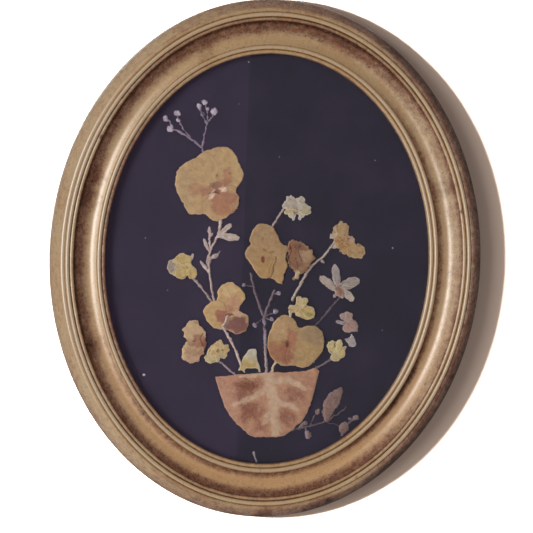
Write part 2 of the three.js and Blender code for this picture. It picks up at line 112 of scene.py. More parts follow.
# ---- Materials ----
class Shader:
    """A node material on one Principled shader, with short ways to add nodes."""

    def __init__(self, name, **values):
        self.material = bpy.data.materials.new(name)
        self.material.use_nodes = True
        self.tree = self.material.node_tree
        self.surface = self.tree.nodes["Principled BSDF"]
        for socket, value in values.items():
            self.set(socket.replace("_", " "), value)
        self.place = self.node("TexCoord").outputs["Object"]

    def set(self, socket, value):
        self.feed(self.surface.inputs[socket], value)

    def feed(self, socket, value):
        if isinstance(value, bpy.types.NodeSocket):
            self.tree.links.new(value, socket)
        else:
            socket.default_value = value

    def node(self, kind, inputs=None, **settings):
        made = self.tree.nodes.new("ShaderNode" + kind)
        for setting, value in settings.items():
            setattr(made, setting, value)
        for socket, value in (inputs or {}).items():
            self.feed(made.inputs[socket], value)
        return made

    def attribute(self, name, output="Fac"):
        return self.node("Attribute", attribute_name=name).outputs[output]

    def map(self, name):
        return self.node("UVMap", uv_map=name).outputs[0]

    def noise(self, size, detail=3.0, roughness=0.55, where=None, stretch=(1, 1, 1), twist=0.0):
        """Noise from 0 to 1 with features of about `size` millimetres."""
        start = self.place if where is None else where
        vector = self.node("Mapping", {"Vector": start, "Scale": stretch}).outputs[0]
        texture = self.node("TexNoise", {
            "Vector": vector, "Scale": 1 / (size * MM), "Detail": detail,
            "Roughness": roughness, "Distortion": twist,
        })
        return texture.outputs[0]

    def remap(self, value, start, end, first=0.0, last=1.0):
        """The value carried from the range start to end over to first to last, and held there."""
        ramp = self.node("MapRange", {
            "Value": value, "From Min": start, "From Max": end, "To Min": first, "To Max": last,
        })
        return ramp.outputs[0]

    def maths(self, operation, first, second=0.0):
        return self.node("Math", {0: first, 1: second}, operation=operation).outputs[0]

    def plus(self, first, second):
        return self.maths("ADD", first, second)

    def minus(self, first, second):
        return self.maths("SUBTRACT", first, second)

    def times(self, first, second):
        return self.maths("MULTIPLY", first, second)

    def mix(self, share, first, second, kind="MIX"):
        blend = self.node("Mix", {0: share, 6: first, 7: second}, data_type="RGBA", blend_type=kind)
        return blend.outputs[2]

    def toned(self, colour, tone):
        """The colour times a fixed tone."""
        return self.mix(1.0, colour, (*tone, 1), "MULTIPLY")

    def bump(self, height, depth, base=None):
        """Relief whose full range is `depth` millimetres."""
        inputs = {"Distance": depth * MM, "Height": height}
        if base is not None:
            inputs["Normal"] = base
        return self.node("Bump", inputs).outputs[0]

    def finish(self, colour, roughness, relief):
        """The material, once its colour, roughness and relief are in place."""
        self.set("Base Color", colour)
        self.set("Roughness", roughness)
        self.set("Normal", relief)
        return self.material


GOLD = linear(171, 138, 94)
GOLD_WARM = linear(172, 130, 82)
GOLD_PALE = linear(200, 168, 124)
GOLD_DEEP = linear(184, 132, 76)
# Pale crest gold: wear, and painted highlight on the crests that face the lamp.
GOLD_WORN_AND_HIGHLIT = linear(184, 160, 130)
UMBER = linear(98, 62, 42)
# Near-black umber: specks, and painted shade where glaze and shade pile up.
UMBER_SPECKS_AND_SHADE = linear(48, 29, 22)
RED_BROWN = linear(134, 82, 56)


def uneven_glaze_and_shade(shader, glaze_and_painted_light, cloudy, gritty, streak):
    """The glaze with its painted light and shade, made uneven: clouded, sponged on, gritty, and streaked
    along the ring.
    """
    sponged = shader.noise(3.2, detail=5, roughness=0.65)
    blotchy = shader.plus(shader.times(cloudy, 0.5), shader.times(sponged, 1.1))
    streaky = shader.times(shader.minus(streak, 0.5), 0.5)
    return shader.plus(shader.plus(glaze_and_painted_light, shader.minus(blotchy, 0.8)), shader.plus(gritty, streaky))


def gold_colour(shader, glaze_and_painted_light, cloudy, grain):
    """The gold itself: warmer in clouds and in the cove, paler in its grain, worn pale on the crests, and
    paler still there as painted highlight on the sides that face the lamp.
    """
    gold = shader.mix(shader.remap(cloudy, 0.35, 0.65), GOLD, GOLD_WARM)
    gold = shader.mix(shader.attribute("warmth"), gold, GOLD_DEEP)
    gold = shader.mix(shader.remap(grain, 0.3, 0.75, 0, 0.8), gold, GOLD_PALE)
    return shader.mix(shader.remap(glaze_and_painted_light, 0.02, -0.15, 0, 0.8), gold, GOLD_WORN_AND_HIGHLIT)


def speckled(shader, colour, glaze_and_painted_light):
    """Dark specks and a few bright flecks, more of each where more glaze lies."""
    specks = shader.remap(shader.noise(1.3, detail=3), 0.58, 0.66)
    specks = shader.times(specks, shader.remap(glaze_and_painted_light, 0.1, 0.7, 0.3, 0.8))
    flecks = shader.remap(shader.noise(1.1, detail=2, stretch=(1.3, 1, 1)), 0.66, 0.74)
    flecks = shader.times(flecks, shader.remap(glaze_and_painted_light, 0.3, 0.8, 0, 0.5))
    return shader.mix(flecks, shader.mix(specks, colour, UMBER_SPECKS_AND_SHADE), GOLD_PALE)


def gilt_material():
    """Antique gold paint: brown glaze lies in the hollows, is rubbed off the crests, and is speckled. Its
    brown also carries painted shade, and its pale crests painted highlight, that differ by side of the
    frame.
    """
    shader = Shader("antique_gold", Coat_Roughness=0.36, Coat_IOR=1.95)
    glaze_and_painted_light = shader.attribute("glaze_and_painted_light")
    cloudy = shader.noise(16, detail=4)
    grain = shader.noise(1.1, detail=5, roughness=0.7)
    gritty = shader.times(shader.minus(grain, 0.5), 0.9)
    streak = shader.noise(1.2, detail=4, where=shader.map("around"), stretch=(0.06, 1, 1))
    amount = uneven_glaze_and_shade(shader, glaze_and_painted_light, cloudy, gritty, streak)
    brown = shader.remap(amount, 0.15, 0.9)
    # The glaze brown, which also carries the painted shade.
    glaze_and_shade_brown = shader.mix(shader.remap(streak, 0.35, 0.7), UMBER, RED_BROWN)
    colour = shader.mix(brown, gold_colour(shader, glaze_and_painted_light, cloudy, grain), glaze_and_shade_brown)
    # Where glaze and painted shade pile up, near-black umber: deep glaze in grooves and painted shade on the
    # sides away from the lamp.
    colour = shader.mix(shader.remap(amount, 0.95, 1.4, 0, 0.9), colour, UMBER_SPECKS_AND_SHADE)
    coat = shader.times(shader.remap(amount, 0.15, 1.1, 1.0, 0.0), shader.attribute("polish"))
    shader.set("Coat Weight", coat)
    shader.set("Metallic", shader.remap(brown, 0, 1, 0.12, 0.02))
    shader.set("Specular IOR Level", shader.remap(amount, 0.8, 1.4, 0.5, 0.08))
    roughness = shader.remap(shader.plus(brown, gritty), 0, 1, 0.45, 0.6)
    relief = shader.bump(shader.plus(grain, streak), 0.03)
    return shader.finish(speckled(shader, colour, glaze_and_painted_light), roughness, shader.bump(brown, 0.03, relief))


def wood_material():
    """Brown-stained wood of the moulding's back, with straight grain in each glued segment."""
    shader = Shader("stained_wood", Specular_IOR_Level=0.35)
    grain_map = shader.map("grain")
    rings = shader.noise(2.2, detail=4, where=grain_map, stretch=(0.07, 1, 1), twist=0.6)
    pores = shader.noise(0.5, detail=3, where=grain_map, stretch=(0.05, 1, 1))
    stain = shader.noise(22, detail=3)
    colour = shader.mix(shader.remap(rings, 0.35, 0.65), linear(92, 62, 40), linear(134, 96, 64))
    colour = shader.mix(shader.remap(pores, 0.56, 0.7, 0, 0.75), colour, linear(58, 38, 25))
    colour = shader.mix(shader.remap(stain, 0.4, 0.75, 0, 0.45), colour, linear(70, 48, 34))
    joint = shader.remap(shader.attribute("joint"), 0.15, 0.35, 1, 0)
    colour = shader.mix(joint, colour, linear(34, 22, 15))
    roughness = shader.remap(pores, 0.3, 0.7, 0.55, 0.8)
    relief = shader.minus(shader.remap(rings, 0.3, 0.7), shader.remap(pores, 0.55, 0.7, 0, 0.8))
    return shader.finish(colour, roughness, shader.bump(relief, 0.06))


def glass_material():
    """Old picture glass: clear, with hardly any ripple and a little dust."""
    shader = Shader("clear_glass", Transmission_Weight=1.0, IOR=1.45, Base_Color=(1, 1, 1, 1))
    ripple = shader.noise(60, detail=1)
    dust = shader.noise(9, detail=6, roughness=0.7)
    shader.set("Roughness", shader.remap(dust, 0.5, 0.8, 0.0, 0.03))
    shader.set("Normal", shader.bump(ripple, 0.02))
    return shader.material


def card_material():
    """Dark aubergine paper with a faint mottle and short paler fibres."""
    shader = Shader("dark_card", Specular_IOR_Level=0.2)
    mottle = shader.noise(26, detail=4)
    fibre = shader.noise(0.9, detail=4, stretch=(1, 1, 0.22), twist=1.2)
    tooth = shader.noise(0.3, detail=2)
    colour = shader.mix(shader.remap(mottle, 0.35, 0.68), linear(35, 31, 45), linear(43, 37, 54))
    colour = shader.mix(shader.remap(fibre, 0.58, 0.85, 0, 0.3), colour, linear(66, 58, 76))
    roughness = shader.remap(tooth, 0.3, 0.7, 0.8, 0.95)
    return shader.finish(colour, roughness, shader.bump(shader.plus(tooth, fibre), 0.025))


def hardboard_material():
    """Brown hardboard, rough side out: matted fibres pressed by a wire screen."""
    shader = Shader("hardboard", Specular_IOR_Level=0.25)
    fibres = shader.noise(1.6, detail=6, roughness=0.7, twist=1.5)
    patches = shader.noise(30, detail=3)
    wires = {"Vector": shader.place, "Scale": 120.0, "Distortion": 0.6}
    weave = [shader.node("TexWave", wires, bands_direction=way).outputs[1] for way in ("X", "Z")]
    screen = shader.times(*weave)
    colour = shader.mix(shader.remap(fibres, 0.3, 0.7), linear(84, 58, 40), linear(128, 94, 66))
    colour = shader.mix(shader.remap(patches, 0.4, 0.7, 0, 0.5), colour, linear(96, 70, 50))
    colour = shader.mix(shader.times(screen, 0.35), colour, linear(62, 42, 29))
    roughness = shader.remap(fibres, 0.3, 0.7, 0.75, 0.92)
    return shader.finish(colour, roughness, shader.bump(shader.minus(fibres, screen), 0.16))


def metal_material(name, bright, dull, roughness):
    """Thin sheet metal or a pin: scuffed, with darker tarnish."""
    shader = Shader(name, Metallic=0.9)
    tarnish = shader.noise(3.5, detail=5, roughness=0.65)
    scuffs = shader.noise(0.35, detail=3, stretch=(0.15, 1, 1))
    colour = shader.mix(shader.remap(tarnish, 0.42, 0.7), bright, dull)
    wear = shader.plus(tarnish, shader.times(scuffs, 0.5))
    wear = shader.remap(wear, 0.5, 1.0, roughness, roughness + 0.25)
    return shader.finish(colour, wear, shader.bump(scuffs, 0.01))


def lint_material():
    """Pale grey lint."""
    shader = Shader("lint", Specular_IOR_Level=0.2)
    grain = shader.noise(0.4, detail=3)
    shader.set("Base Color", shader.mix(grain, linear(150, 142, 150), linear(206, 200, 200)))
    shader.set("Roughness", shader.remap(grain, 0.3, 0.7, 0.8, 0.95))
    return shader.material


PETAL_LIGHT = (1.16, 1.15, 1.12)
PETAL_DARK = (0.84, 0.8, 0.78)
# How dark the painted shade at seams, creases and hollows goes, and the stems' darker blotches.
SHADE_AND_BLOTCH_DARK = (0.42, 0.33, 0.3)
PETAL_ROUGHNESS = 0.78


def petal_material(name, rim, vein, mottling=1.0):
    """A pressed petal or leaf: painted tint, papery mottle, fine veins and a paler dry rim, which at seams
    also carries a painted highlight; painted shade darkens seams, creases and crumple hollows.
    """
    shader = Shader(name, Specular_IOR_Level=0.25, Sheen_Weight=0.08, Sheen_Roughness=0.5)
    tint = shader.attribute("tint", "Color")
    mottle = shader.noise(2.6, detail=4)
    tissue = shader.noise(0.42, detail=3)
    lines = shader.noise(0.5, detail=2, where=shader.map("fan"), stretch=(1, 0.1, 1), twist=0.4)
    middle = shader.maths("ABSOLUTE", shader.minus(lines, 0.5))
    veins = shader.times(shader.remap(middle, 0.0, 0.035, 1, 0), shader.attribute("veined"))
    lighter = shader.mix(mottling, tint, shader.toned(tint, PETAL_LIGHT))
    darker = shader.mix(mottling, tint, shader.toned(tint, PETAL_DARK))
    colour = shader.mix(shader.remap(mottle, 0.32, 0.68), darker, lighter)
    colour = shader.mix(shader.remap(tissue, 0.55, 0.75, 0, 0.3), colour, darker)
    colour = shader.mix(shader.times(veins, 0.4), colour, vein)
    # The rim colour: a paler dry rim, and at seams a painted highlight.
    colour = shader.mix(shader.attribute("rim"), colour, rim)
    # Painted shade at seams, creases and crumple hollows; on stems, random darker blotches.
    colour = shader.mix(shader.attribute("fold"), colour, shader.toned(tint, SHADE_AND_BLOTCH_DARK))
    roughness = shader.remap(tissue, 0.3, 0.7, PETAL_ROUGHNESS - 0.08, PETAL_ROUGHNESS + 0.1)
    relief = shader.plus(tissue, shader.times(veins, 0.8))
    return shader.finish(colour, roughness, shader.bump(relief, 0.05))


# ---- Mesh tools ----
def new_piece(name, vertices, faces, materials, nodes=()):
    """A smooth mesh piece that rides on the picture and may stand for CAD nodes."""
    mesh = bpy.data.meshes.new(name)
    mesh.from_pydata([tuple(v) for v in vertices], [], [tuple(int(i) for i in f) for f in faces])
    piece = bpy.data.objects.new(name, mesh)
    bpy.context.scene.collection.objects.link(piece)
    for material in materials:
        mesh.materials.append(material)
    mesh.shade_smooth()
    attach(piece, BODY)
    if nodes:
        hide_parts(*nodes)
    return piece


def paint(piece, name, values, kind="FLOAT", domain="POINT"):
    """Stores a value or a colour for each vertex, or for each corner, for the material to read."""
    attribute = piece.data.attributes.new(name, kind, domain)
    field = "color" if kind == "FLOAT_COLOR" else "value"
    attribute.data.foreach_set(field, np.ravel(values).astype(np.float32))


def paint_map(piece, name, corners):
    """Stores a flat place for each corner of each face, for textures that follow the surface."""
    layer = piece.data.uv_layers.new(name=name)
    layer.data.foreach_set("uv", np.ravel(corners))


# ---- Moulding ----
# Distances in from the outer edge and heights above the back. The outer edge, the sight, the lip and
# the rabbet are the CAD's, and the beads, the cove and the flank are drawn finer than there.
STEPS_AROUND = 384
BEAD_STEPS = 9
COVE_STEPS = 30
FLANK_STEPS = 12
BEAD_EDGE_ANGLE = 12
SHARP_ANGLE = 38
SIGHT_OFFSET = 32.1
RABBET_OFFSET = 25
LIP_BACK = 10.4
FLANK_WIDTH = 5.5
FLANK_FOOT = 4
FLANK_RISE = 13.5
FLANK_CURVE = 2.4
# Beads: where they start and end, their foot and crest, and the glaze on the crest and beside it.
BEADS_OUTSIDE = [
    (5.7, 8.3, 18.1, 18.9, -0.05, 0.35),
    (8.3, 10.8, 18.5, 19.9, -0.18, 0.6),
    (10.8, 13.3, 17.5, 18.8, 0.1, 1.1),
]
BEADS_INSIDE = [
    (26.9, 29.5, 13.3, 14.6, -0.18, 0.5),
    (29.5, 32, 12.5, 13.6, 0.2, 0.8),
]
COVE_START = (13.5, 17.3)
COVE_END = (26.8, 13.8)
COVE_SAG = 3.1
COVE_SKEW = 1.15
# Where across the cove the glaze of its outer half ends: from full to none.
COVE_GLAZE_ENDS = (0.22, 0.8)
GLAZE_RANGE = (-0.25, 1.6)
LEAST_COVE_GLAZE = 0.04
WOOD_SEGMENTS = 6
SEGMENT_SHIFT = 57.0


def bead_profile(first, last, foot, crest, worn, beside):
    """A round bead, as offset, height and how much glaze stays on it."""
    angles = np.radians(np.linspace(180 - BEAD_EDGE_ANGLE, BEAD_EDGE_ANGLE, BEAD_STEPS))
    offsets = (first + last) / 2 + (last - first) / 2 * np.cos(angles)
    heights = foot + (crest - foot) * np.sin(angles)
    glaze_and_painted_light = worn + beside * (1 - np.sin(angles)) ** 0.8
    return list(zip(offsets, heights, glaze_and_painted_light))


def cove_profile():
    """The hollow between the beads, deepest a little inside its middle, with glaze in its outer half."""
    share = np.linspace(0, 1, COVE_STEPS)
    offsets = COVE_START[0] + (COVE_END[0] - COVE_START[0]) * share
    heights = COVE_START[1] + (COVE_END[1] - COVE_START[1]) * share
    heights -= COVE_SAG * np.sin(np.pi * share ** COVE_SKEW)
    glaze_and_painted_light = 0.95 * (1 - smooth(share, *COVE_GLAZE_ENDS)) + 0.25 * smooth(share, 0.95, 1.0)
    glaze_and_painted_light += 0.45 * (1 - smooth(share, 0, 0.18))
    return list(zip(offsets, heights, glaze_and_painted_light))


def flank_profile():
    """The outer flank, which starts upright and leans in more and more towards the beads."""
    share = np.linspace(0, 1, FLANK_STEPS)
    offsets = FLANK_WIDTH * share ** FLANK_CURVE
    heights = FLANK_FOOT + FLANK_RISE * share
    glaze_and_painted_light = 0.6 - 0.42 * share ** 0.5
    return list(zip(offsets, heights, glaze_and_painted_light))


def moulding_profile():
    """The gilt part of the profile from the back round the front to the lip, and the wooden rest."""
    gilt = [(1.2, 0, 0.9), (0.45, 0.4, 0.85), (0.2, 1.2, 0.7), (0.05, 2.6, 0.55)]
    gilt += flank_profile()
    for bead in BEADS_OUTSIDE:
        gilt += bead_profile(*bead)
    gilt += cove_profile()
    for bead in BEADS_INSIDE:
        gilt += bead_profile(*bead)
    gilt += [(SIGHT_OFFSET, 12, 0.7), (SIGHT_OFFSET, LIP_BACK, 1)]
    wood = [(RABBET_OFFSET, LIP_BACK, 1), (RABBET_OFFSET, 0.4, 1), (RABBET_OFFSET - 0.4, 0, 1)]
    wood += [(offset, 0, 1) for offset in np.linspace(21, 4, 5)]
    return np.array(gilt), np.array(wood)


# How the glaze, and the painted light and shade put into it, differ round the frame: a part of the profile,
# a side of the frame, and the change.
# These changes are painted light: a rise darkens a side as painted shade and a fall lightens it as painted
# highlight, after how the lamps fall on it.
PAINTED_LIGHT_BY_SIDE = [
    ("flank", "all but left", 0.45), ("low flank", "wide right", 0.85),
    ("flank foot", "top", 0.2), ("flank foot", "bottom", 0.8),
    ("bead 1", "left", -0.25), ("bead 1", "right", 0.8), ("bead 1", "top", 0.35), ("bead 1", "bottom", 0.4),
    ("bead 2", "left", -0.25),
    ("bead 3", "top", 0.4), ("bead 3", "bottom", 0.2), ("bead 3", "right", -0.2),
    ("bead 5", "left", 0.5), ("bead 5", "right", -0.45),
    ("cove middle", "bottom", -0.95), ("cove start", "bottom", -0.4), ("cove end", "bottom", 0.85),
    ("cove lip", "left", -0.3),
    ("cove outer half", "right", -0.6), ("cove inner half", "right", 0.85),
]


def frame_sides(cosines, sines):
    """How much each step round the oval belongs to each side of the frame."""
    return {
        "right": smooth(cosines, 0.4, 0.95),
        "wide right": smooth(cosines, 0.1, 0.75),
        "all but left": smooth(cosines, -0.7, 0),
        "left": smooth(-cosines, 0.4, 0.9),
        "top": smooth(sines, 0.3, 0.9),
        "bottom": smooth(-sines, 0.15, 0.8),
    }


def profile_parts(offsets, heights):
    """How much each point of the profile belongs to each of its parts."""
    flank_top = FLANK_FOOT + FLANK_RISE + 0.5
    flank = (offsets < FLANK_WIDTH + 0.1) & (heights < flank_top)
    share = (offsets - COVE_START[0]) / (COVE_END[0] - COVE_START[0])
    cove = (share >= 0) & (share <= 1)
    outer_half = 1 - smooth(share, *COVE_GLAZE_ENDS)
    parts = {
        "flank": flank,
        "low flank": flank * (1.35 - heights / flank_top),
        "flank foot": flank * (1 - heights / flank_top),
        "bead 5": offsets > BEADS_INSIDE[1][0],
        "cove": cove,
        "cove outer half": cove * outer_half,
        "cove inner half": cove * smooth(share, 0.6, 0.95),
        "cove middle": cove * (smooth(share, 0.12, 0.5) + outer_half - 1),
        "cove start": cove * (1 - smooth(share, 0, 0.18)),
        "cove end": cove * smooth(share, 0.62, 0.97),
        "cove lip": cove * smooth(share, 0.9, 1),
    }
    for number, (first, last, *_) in enumerate(BEADS_OUTSIDE, 1):
        parts[f"bead {number}"] = (offsets > first) & (offsets < last)
    return parts


def glaze_with_painted_light(glaze_and_painted_light, offsets, heights, cosines, sines):
    """The glaze of the profile, with painted shade and painted highlight added by side of the frame. The
    cove keeps a trace of it everywhere.
    """
    parts, sides = profile_parts(offsets, heights), frame_sides(cosines, sines)
    for part, side, change in PAINTED_LIGHT_BY_SIDE:
        glaze_and_painted_light = glaze_and_painted_light + change * parts[part] * sides[side]
    return np.where(parts["cove"], np.maximum(glaze_and_painted_light, LEAST_COVE_GLAZE), glaze_and_painted_light)


# Knocks in the gilding: angle round the oval, distance in from the edge, radius and depth.
KNOCKS = [(13, 12.2, 1.6, 0.35), (-62, 9.5, 1.4, 0.3), (-71, 3, 2.2, 0.35), (151, 12.4, 1.3, 0.25),
          (-98, 12.3, 1.2, 0.25), (-55, 2.5, 2.4, 0.4), (-78, 1.4, 1.8, 0.35), (64, 9.4, 1.2, 0.22)]
KNOCK_GLAZE = 0.8
# Places where the glaze is blotchy: place, and radius.
BLOTCHES = [((-104, 31), 9), ((-101, 44), 8), ((-99, -52), 8), ((36, -147), 17), ((84, -120), 14),
            ((102, 46), 10), ((2, -149), 8), ((-40, 118), 9)]
BLOTCH_GLAZE = 0.28


def worn(x, z, heights, glaze_and_painted_light, raised, gilded):
    """The heights and the glaze, with hand-made unevenness, knocks and blotches."""
    places = np.column_stack([x.ravel(), z.ravel(), heights.ravel()])
    wobble = 0.09 * cloud(places, 22) + 0.05 * cloud(places, 4.5, 31)
    heights = heights + wobble.reshape(x.shape) * raised
    for degrees, offset, radius, depth in KNOCKS:
        angle = math.radians(degrees)
        spot_x, spot_z = (HALF_WIDTH - offset) * math.cos(angle), (HALF_HEIGHT - offset) * math.sin(angle)
        dent = (1 - smooth(np.hypot(x - spot_x, z - spot_z), 0.2 * radius, radius)) * raised
        heights -= depth * dent
        glaze_and_painted_light += KNOCK_GLAZE * dent
    for (spot_x, spot_z), radius in BLOTCHES:
        away = np.hypot(x - spot_x, z - spot_z)
        glaze_and_painted_light += BLOTCH_GLAZE * (1 - smooth(away, 0.3 * radius, radius)) * gilded
    return heights, glaze_and_painted_light


def map_moulding(piece, profile, x, z, faces):
    """Map "around" runs along the ring and down the profile; map "grain" runs straight in each segment."""
    rows = len(profile)
    step_along = 2 * np.pi / STEPS_AROUND * (HALF_WIDTH + HALF_HEIGHT) / 2 * MM
    lengths = np.hypot(np.diff(profile[:, 0], append=profile[0, 0]), np.diff(profile[:, 1], append=0))
    down = np.concatenate([[0], np.cumsum(lengths)]) * MM
    column = np.tile(np.arange(rows), STEPS_AROUND)
    ring = np.repeat(np.arange(STEPS_AROUND), rows)
    steps = np.stack([ring, ring, ring + 1, ring + 1], axis=-1)
    across = np.stack([down[column], down[column + 1], down[column + 1], down[column]], axis=-1)
    paint_map(piece, "around", np.stack([steps * step_along, across], axis=-1))
    per_segment = STEPS_AROUND // WOOD_SEGMENTS
    segment = (ring // per_segment)[:, None]
    turn = (segment + 0.5) * 2 * np.pi / WOOD_SEGMENTS
    flat_x, flat_z = x.ravel()[faces], z.ravel()[faces]
    grain_u = -flat_x * np.sin(turn) + flat_z * np.cos(turn) + SEGMENT_SHIFT * segment
    grain_v = flat_x * np.cos(turn) + flat_z * np.sin(turn)
    paint_map(piece, "grain", np.stack([grain_u, grain_v], axis=-1) * MM)
    since = steps - segment * per_segment
    nearest = np.minimum(since, per_segment - since) * step_along / MM
    paint(piece, "joint", nearest, domain="CORNER")


def build_moulding():
    """The profile turned round the oval: gilt in front, stained wood behind."""
    gilt, wood = moulding_profile()
    profile = np.vstack([gilt, wood])
    offsets, levels, painted = profile.T
    angles = np.linspace(0, 2 * np.pi, STEPS_AROUND, endpoint=False)
    cosines, sines = np.cos(angles)[:, None], np.sin(angles)[:, None]
    x, z = (HALF_WIDTH - offsets) * cosines, (HALF_HEIGHT - offsets) * sines
    gilded = np.arange(len(profile)) < len(gilt)
    raised = gilded & (levels > LIP_BACK)
    # The glaze here takes on painted shade and painted highlight by side of the frame.
    glaze_and_painted_light = glaze_with_painted_light(painted, offsets, levels, cosines, sines)
    heights, glaze_and_painted_light = worn(x, z, np.broadcast_to(levels, x.shape), glaze_and_painted_light, raised, gilded)

    index = np.arange(x.size).reshape(x.shape)
    following = np.roll(index, -1, axis=0)
    corners = [index, np.roll(index, -1, axis=1), np.roll(following, -1, axis=1), following]
    faces = np.stack(corners, axis=-1).reshape(-1, 4)
    vertices = world(x.ravel(), z.ravel(), heights.ravel())
    piece = new_piece("gilt_moulding", vertices, faces, [gilt_material(), wood_material()],
                      ["moulding"])
    is_wood = np.tile(np.arange(len(profile)), STEPS_AROUND) >= len(gilt) - 1
    piece.data.polygons.foreach_set("material_index", is_wood.astype(np.int32))
    piece.data.set_sharp_from_angle(angle=math.radians(SHARP_ANGLE))
    paint(piece, "glaze_and_painted_light", np.clip(glaze_and_painted_light, *GLAZE_RANGE))
    polish = 0.4 + 0.6 * smooth(abs(cosines), 0.35, 0.85)
    paint(piece, "polish", np.broadcast_to(polish, glaze_and_painted_light.shape))
    in_cove = (offsets > COVE_START[0]) & (offsets < COVE_END[0])
    paint(piece, "warmth", in_cove * smooth(-sines, -0.1, 0.8))
    map_moulding(piece, profile, x, z, faces)


# ---- Pressed plants ----
# An outline has a corner where it turns by more than this many degrees.
CORNER_ANGLE = 55
# Where the fan map is as wide as it is long, in millimetres from its centre.
FAN_RADIUS = 9
# The least thickness of a plant.
SHELL_LEAST = 0.08
# A flower in one sheet: how far its rim droops, how wide and how pale that is, and a petal's step.
RIM_DROOP = 0.2
RIM_WIDTH = 0.5
RIM_STRENGTH = 0.45
PETAL_STEP = 0.085
# A flower of several petals: how far it lies behind its CAD plate, and each petal before the last one.
POSY_SINK = 0.4
POSY_STEP = 0.06
# Stems: their foot above the moulding's back, the thickness of stem and bud, and the triangles' size.
STEM_FOOT = 5.75
STEM_THICKNESS = 0.5
BUD_THICKNESS = 0.7
STEM_SPACING = 0.2
LEAF_SPACING = 0.22


def outlines(node):
    """The outline of a CAD plate's front face, as closed loops of places in millimetres."""
    mesh = frame["nodes"][node].data
    corners = np.array([v.co for v in mesh.vertices])
    places = np.column_stack([corners[:, 0] - CENTRE.x, corners[:, 2] - CENTRE.z]) / MM
    keys = [tuple(np.round(p, 3)) for p in places]
    edges = {}
    for polygon in mesh.polygons:
        if polygon.normal.y < -0.9:
            ring = [keys[i] for i in polygon.vertices]
            for first, second in zip(ring, ring[1:] + ring[:1]):
                if edges.get(second) and first in edges[second]:
                    edges[second].remove(first)
                else:
                    edges.setdefault(first, []).append(second)
    loops = []
    while any(edges.values()):
        start = next(key for key, ends in edges.items() if ends)
        loop = [start]
        while edges.get(loop[-1]):
            loop.append(edges[loop[-1]].pop())
            if loop[-1] == start:
                break
        loops.append(np.array(loop[:-1]))
    return [loop for loop in loops if len(loop) > 2]


def rounded(loop, step):
    """The same outline as a smooth curve through its points, sharp only at real corners.

    Each stretch is a cubic curve that leaves and arrives along the mean way of its neighbours.
    """
    back = loop - np.roll(loop, 1, axis=0)
    ahead = np.roll(loop, -1, axis=0) - loop
    back_way = back / np.linalg.norm(back, axis=1)[:, None]
    ahead_way = ahead / np.linalg.norm(ahead, axis=1)[:, None]
    turning = np.degrees(np.arccos(np.clip((back_way * ahead_way).sum(1), -1, 1)))
    sharp = turning > CORNER_ANGLE
    middle = (back_way + ahead_way) / 2
    curve = []
    for i in range(len(loop)):
        j = (i + 1) % len(loop)
        length = np.linalg.norm(ahead[i])
        leave = (ahead_way[i] if sharp[i] else middle[i]) * length
        arrive = (ahead_way[i] if sharp[j] else middle[j]) * length
        for s in np.arange(0, 1, 1 / max(1, round(length / step))):
            curve.append(
                (2 * s ** 3 - 3 * s ** 2 + 1) * loop[i] + (s ** 3 - 2 * s ** 2 + s) * leave
                + (3 * s ** 2 - 2 * s ** 3) * loop[j] + (s ** 3 - s ** 2) * arrive)
    return np.array(curve)


def ragged(loop, amount, size, grow=0.0):
    """The outline with small uneven bites and swellings, and if wanted a little larger all round."""
    way = np.roll(loop, -1, axis=0) - np.roll(loop, 1, axis=0)
    normal = np.column_stack([way[:, 1], -way[:, 0]]) / (np.linalg.norm(way, axis=1)[:, None] + 1e-9)
    swell = cloud(loop, size) + 0.45 * cloud(loop, size / 2.3, 17) + 0.15 * cloud(loop, size / 5, 29)
    return loop + normal * (amount * swell + grow)[:, None]


def warped(loop, amount, size):
    """The outline drawn through slightly uneven space, so that round buds and straight stems are less so."""
    return loop + amount * np.column_stack([cloud(loop, size, 41), cloud(loop, size, 83)])


def blade(base, tip, width, blunt):
    """The outline of a petal or leaf from its foot to its tip. A blunt one is widest near the tip."""
    base, tip = np.array(base), np.array(tip)
    along = tip - base
    side = np.array([-along[1], along[0]]) / np.linalg.norm(along)
    share = np.linspace(0, 1, 13)
    reach = width / 2 * np.sin(np.pi * share ** (1 + 0.8 * blunt)) ** (0.85 - 0.4 * blunt)
    reach = np.maximum(reach, 0.12 * width * (1 - share))
    left = base + share[:, None] * along + reach[:, None] * side
    right = base + share[:, None] * along - reach[:, None] * side
    return np.vstack([left, right[-2::-1]])[::-1]


def inside(points, loops):
    """True for each point that is within the outlines."""
    crossings = np.zeros(len(points), int)
    x, z = points[:, 0], points[:, 1]
    for loop in loops:
        for (x0, z0), (x1, z1) in zip(loop, np.roll(loop, -1, axis=0)):
            between = (z0 > z) != (z1 > z)
            slope = (x1 - x0) / (z1 - z0) if z1 != z0 else 0.0
            crossings += between & (x < x0 + (z - z0) * slope)
    return crossings % 2 == 1


def edge_distance(points, loops):
    """Each point's distance to the nearest outline."""
    nearest = np.full(len(points), 1e9)
    for loop in loops:
        for start, end in zip(loop, np.roll(loop, -1, axis=0)):
            nearest = np.minimum(nearest, line_distance(points, start, end)[0])
    return nearest


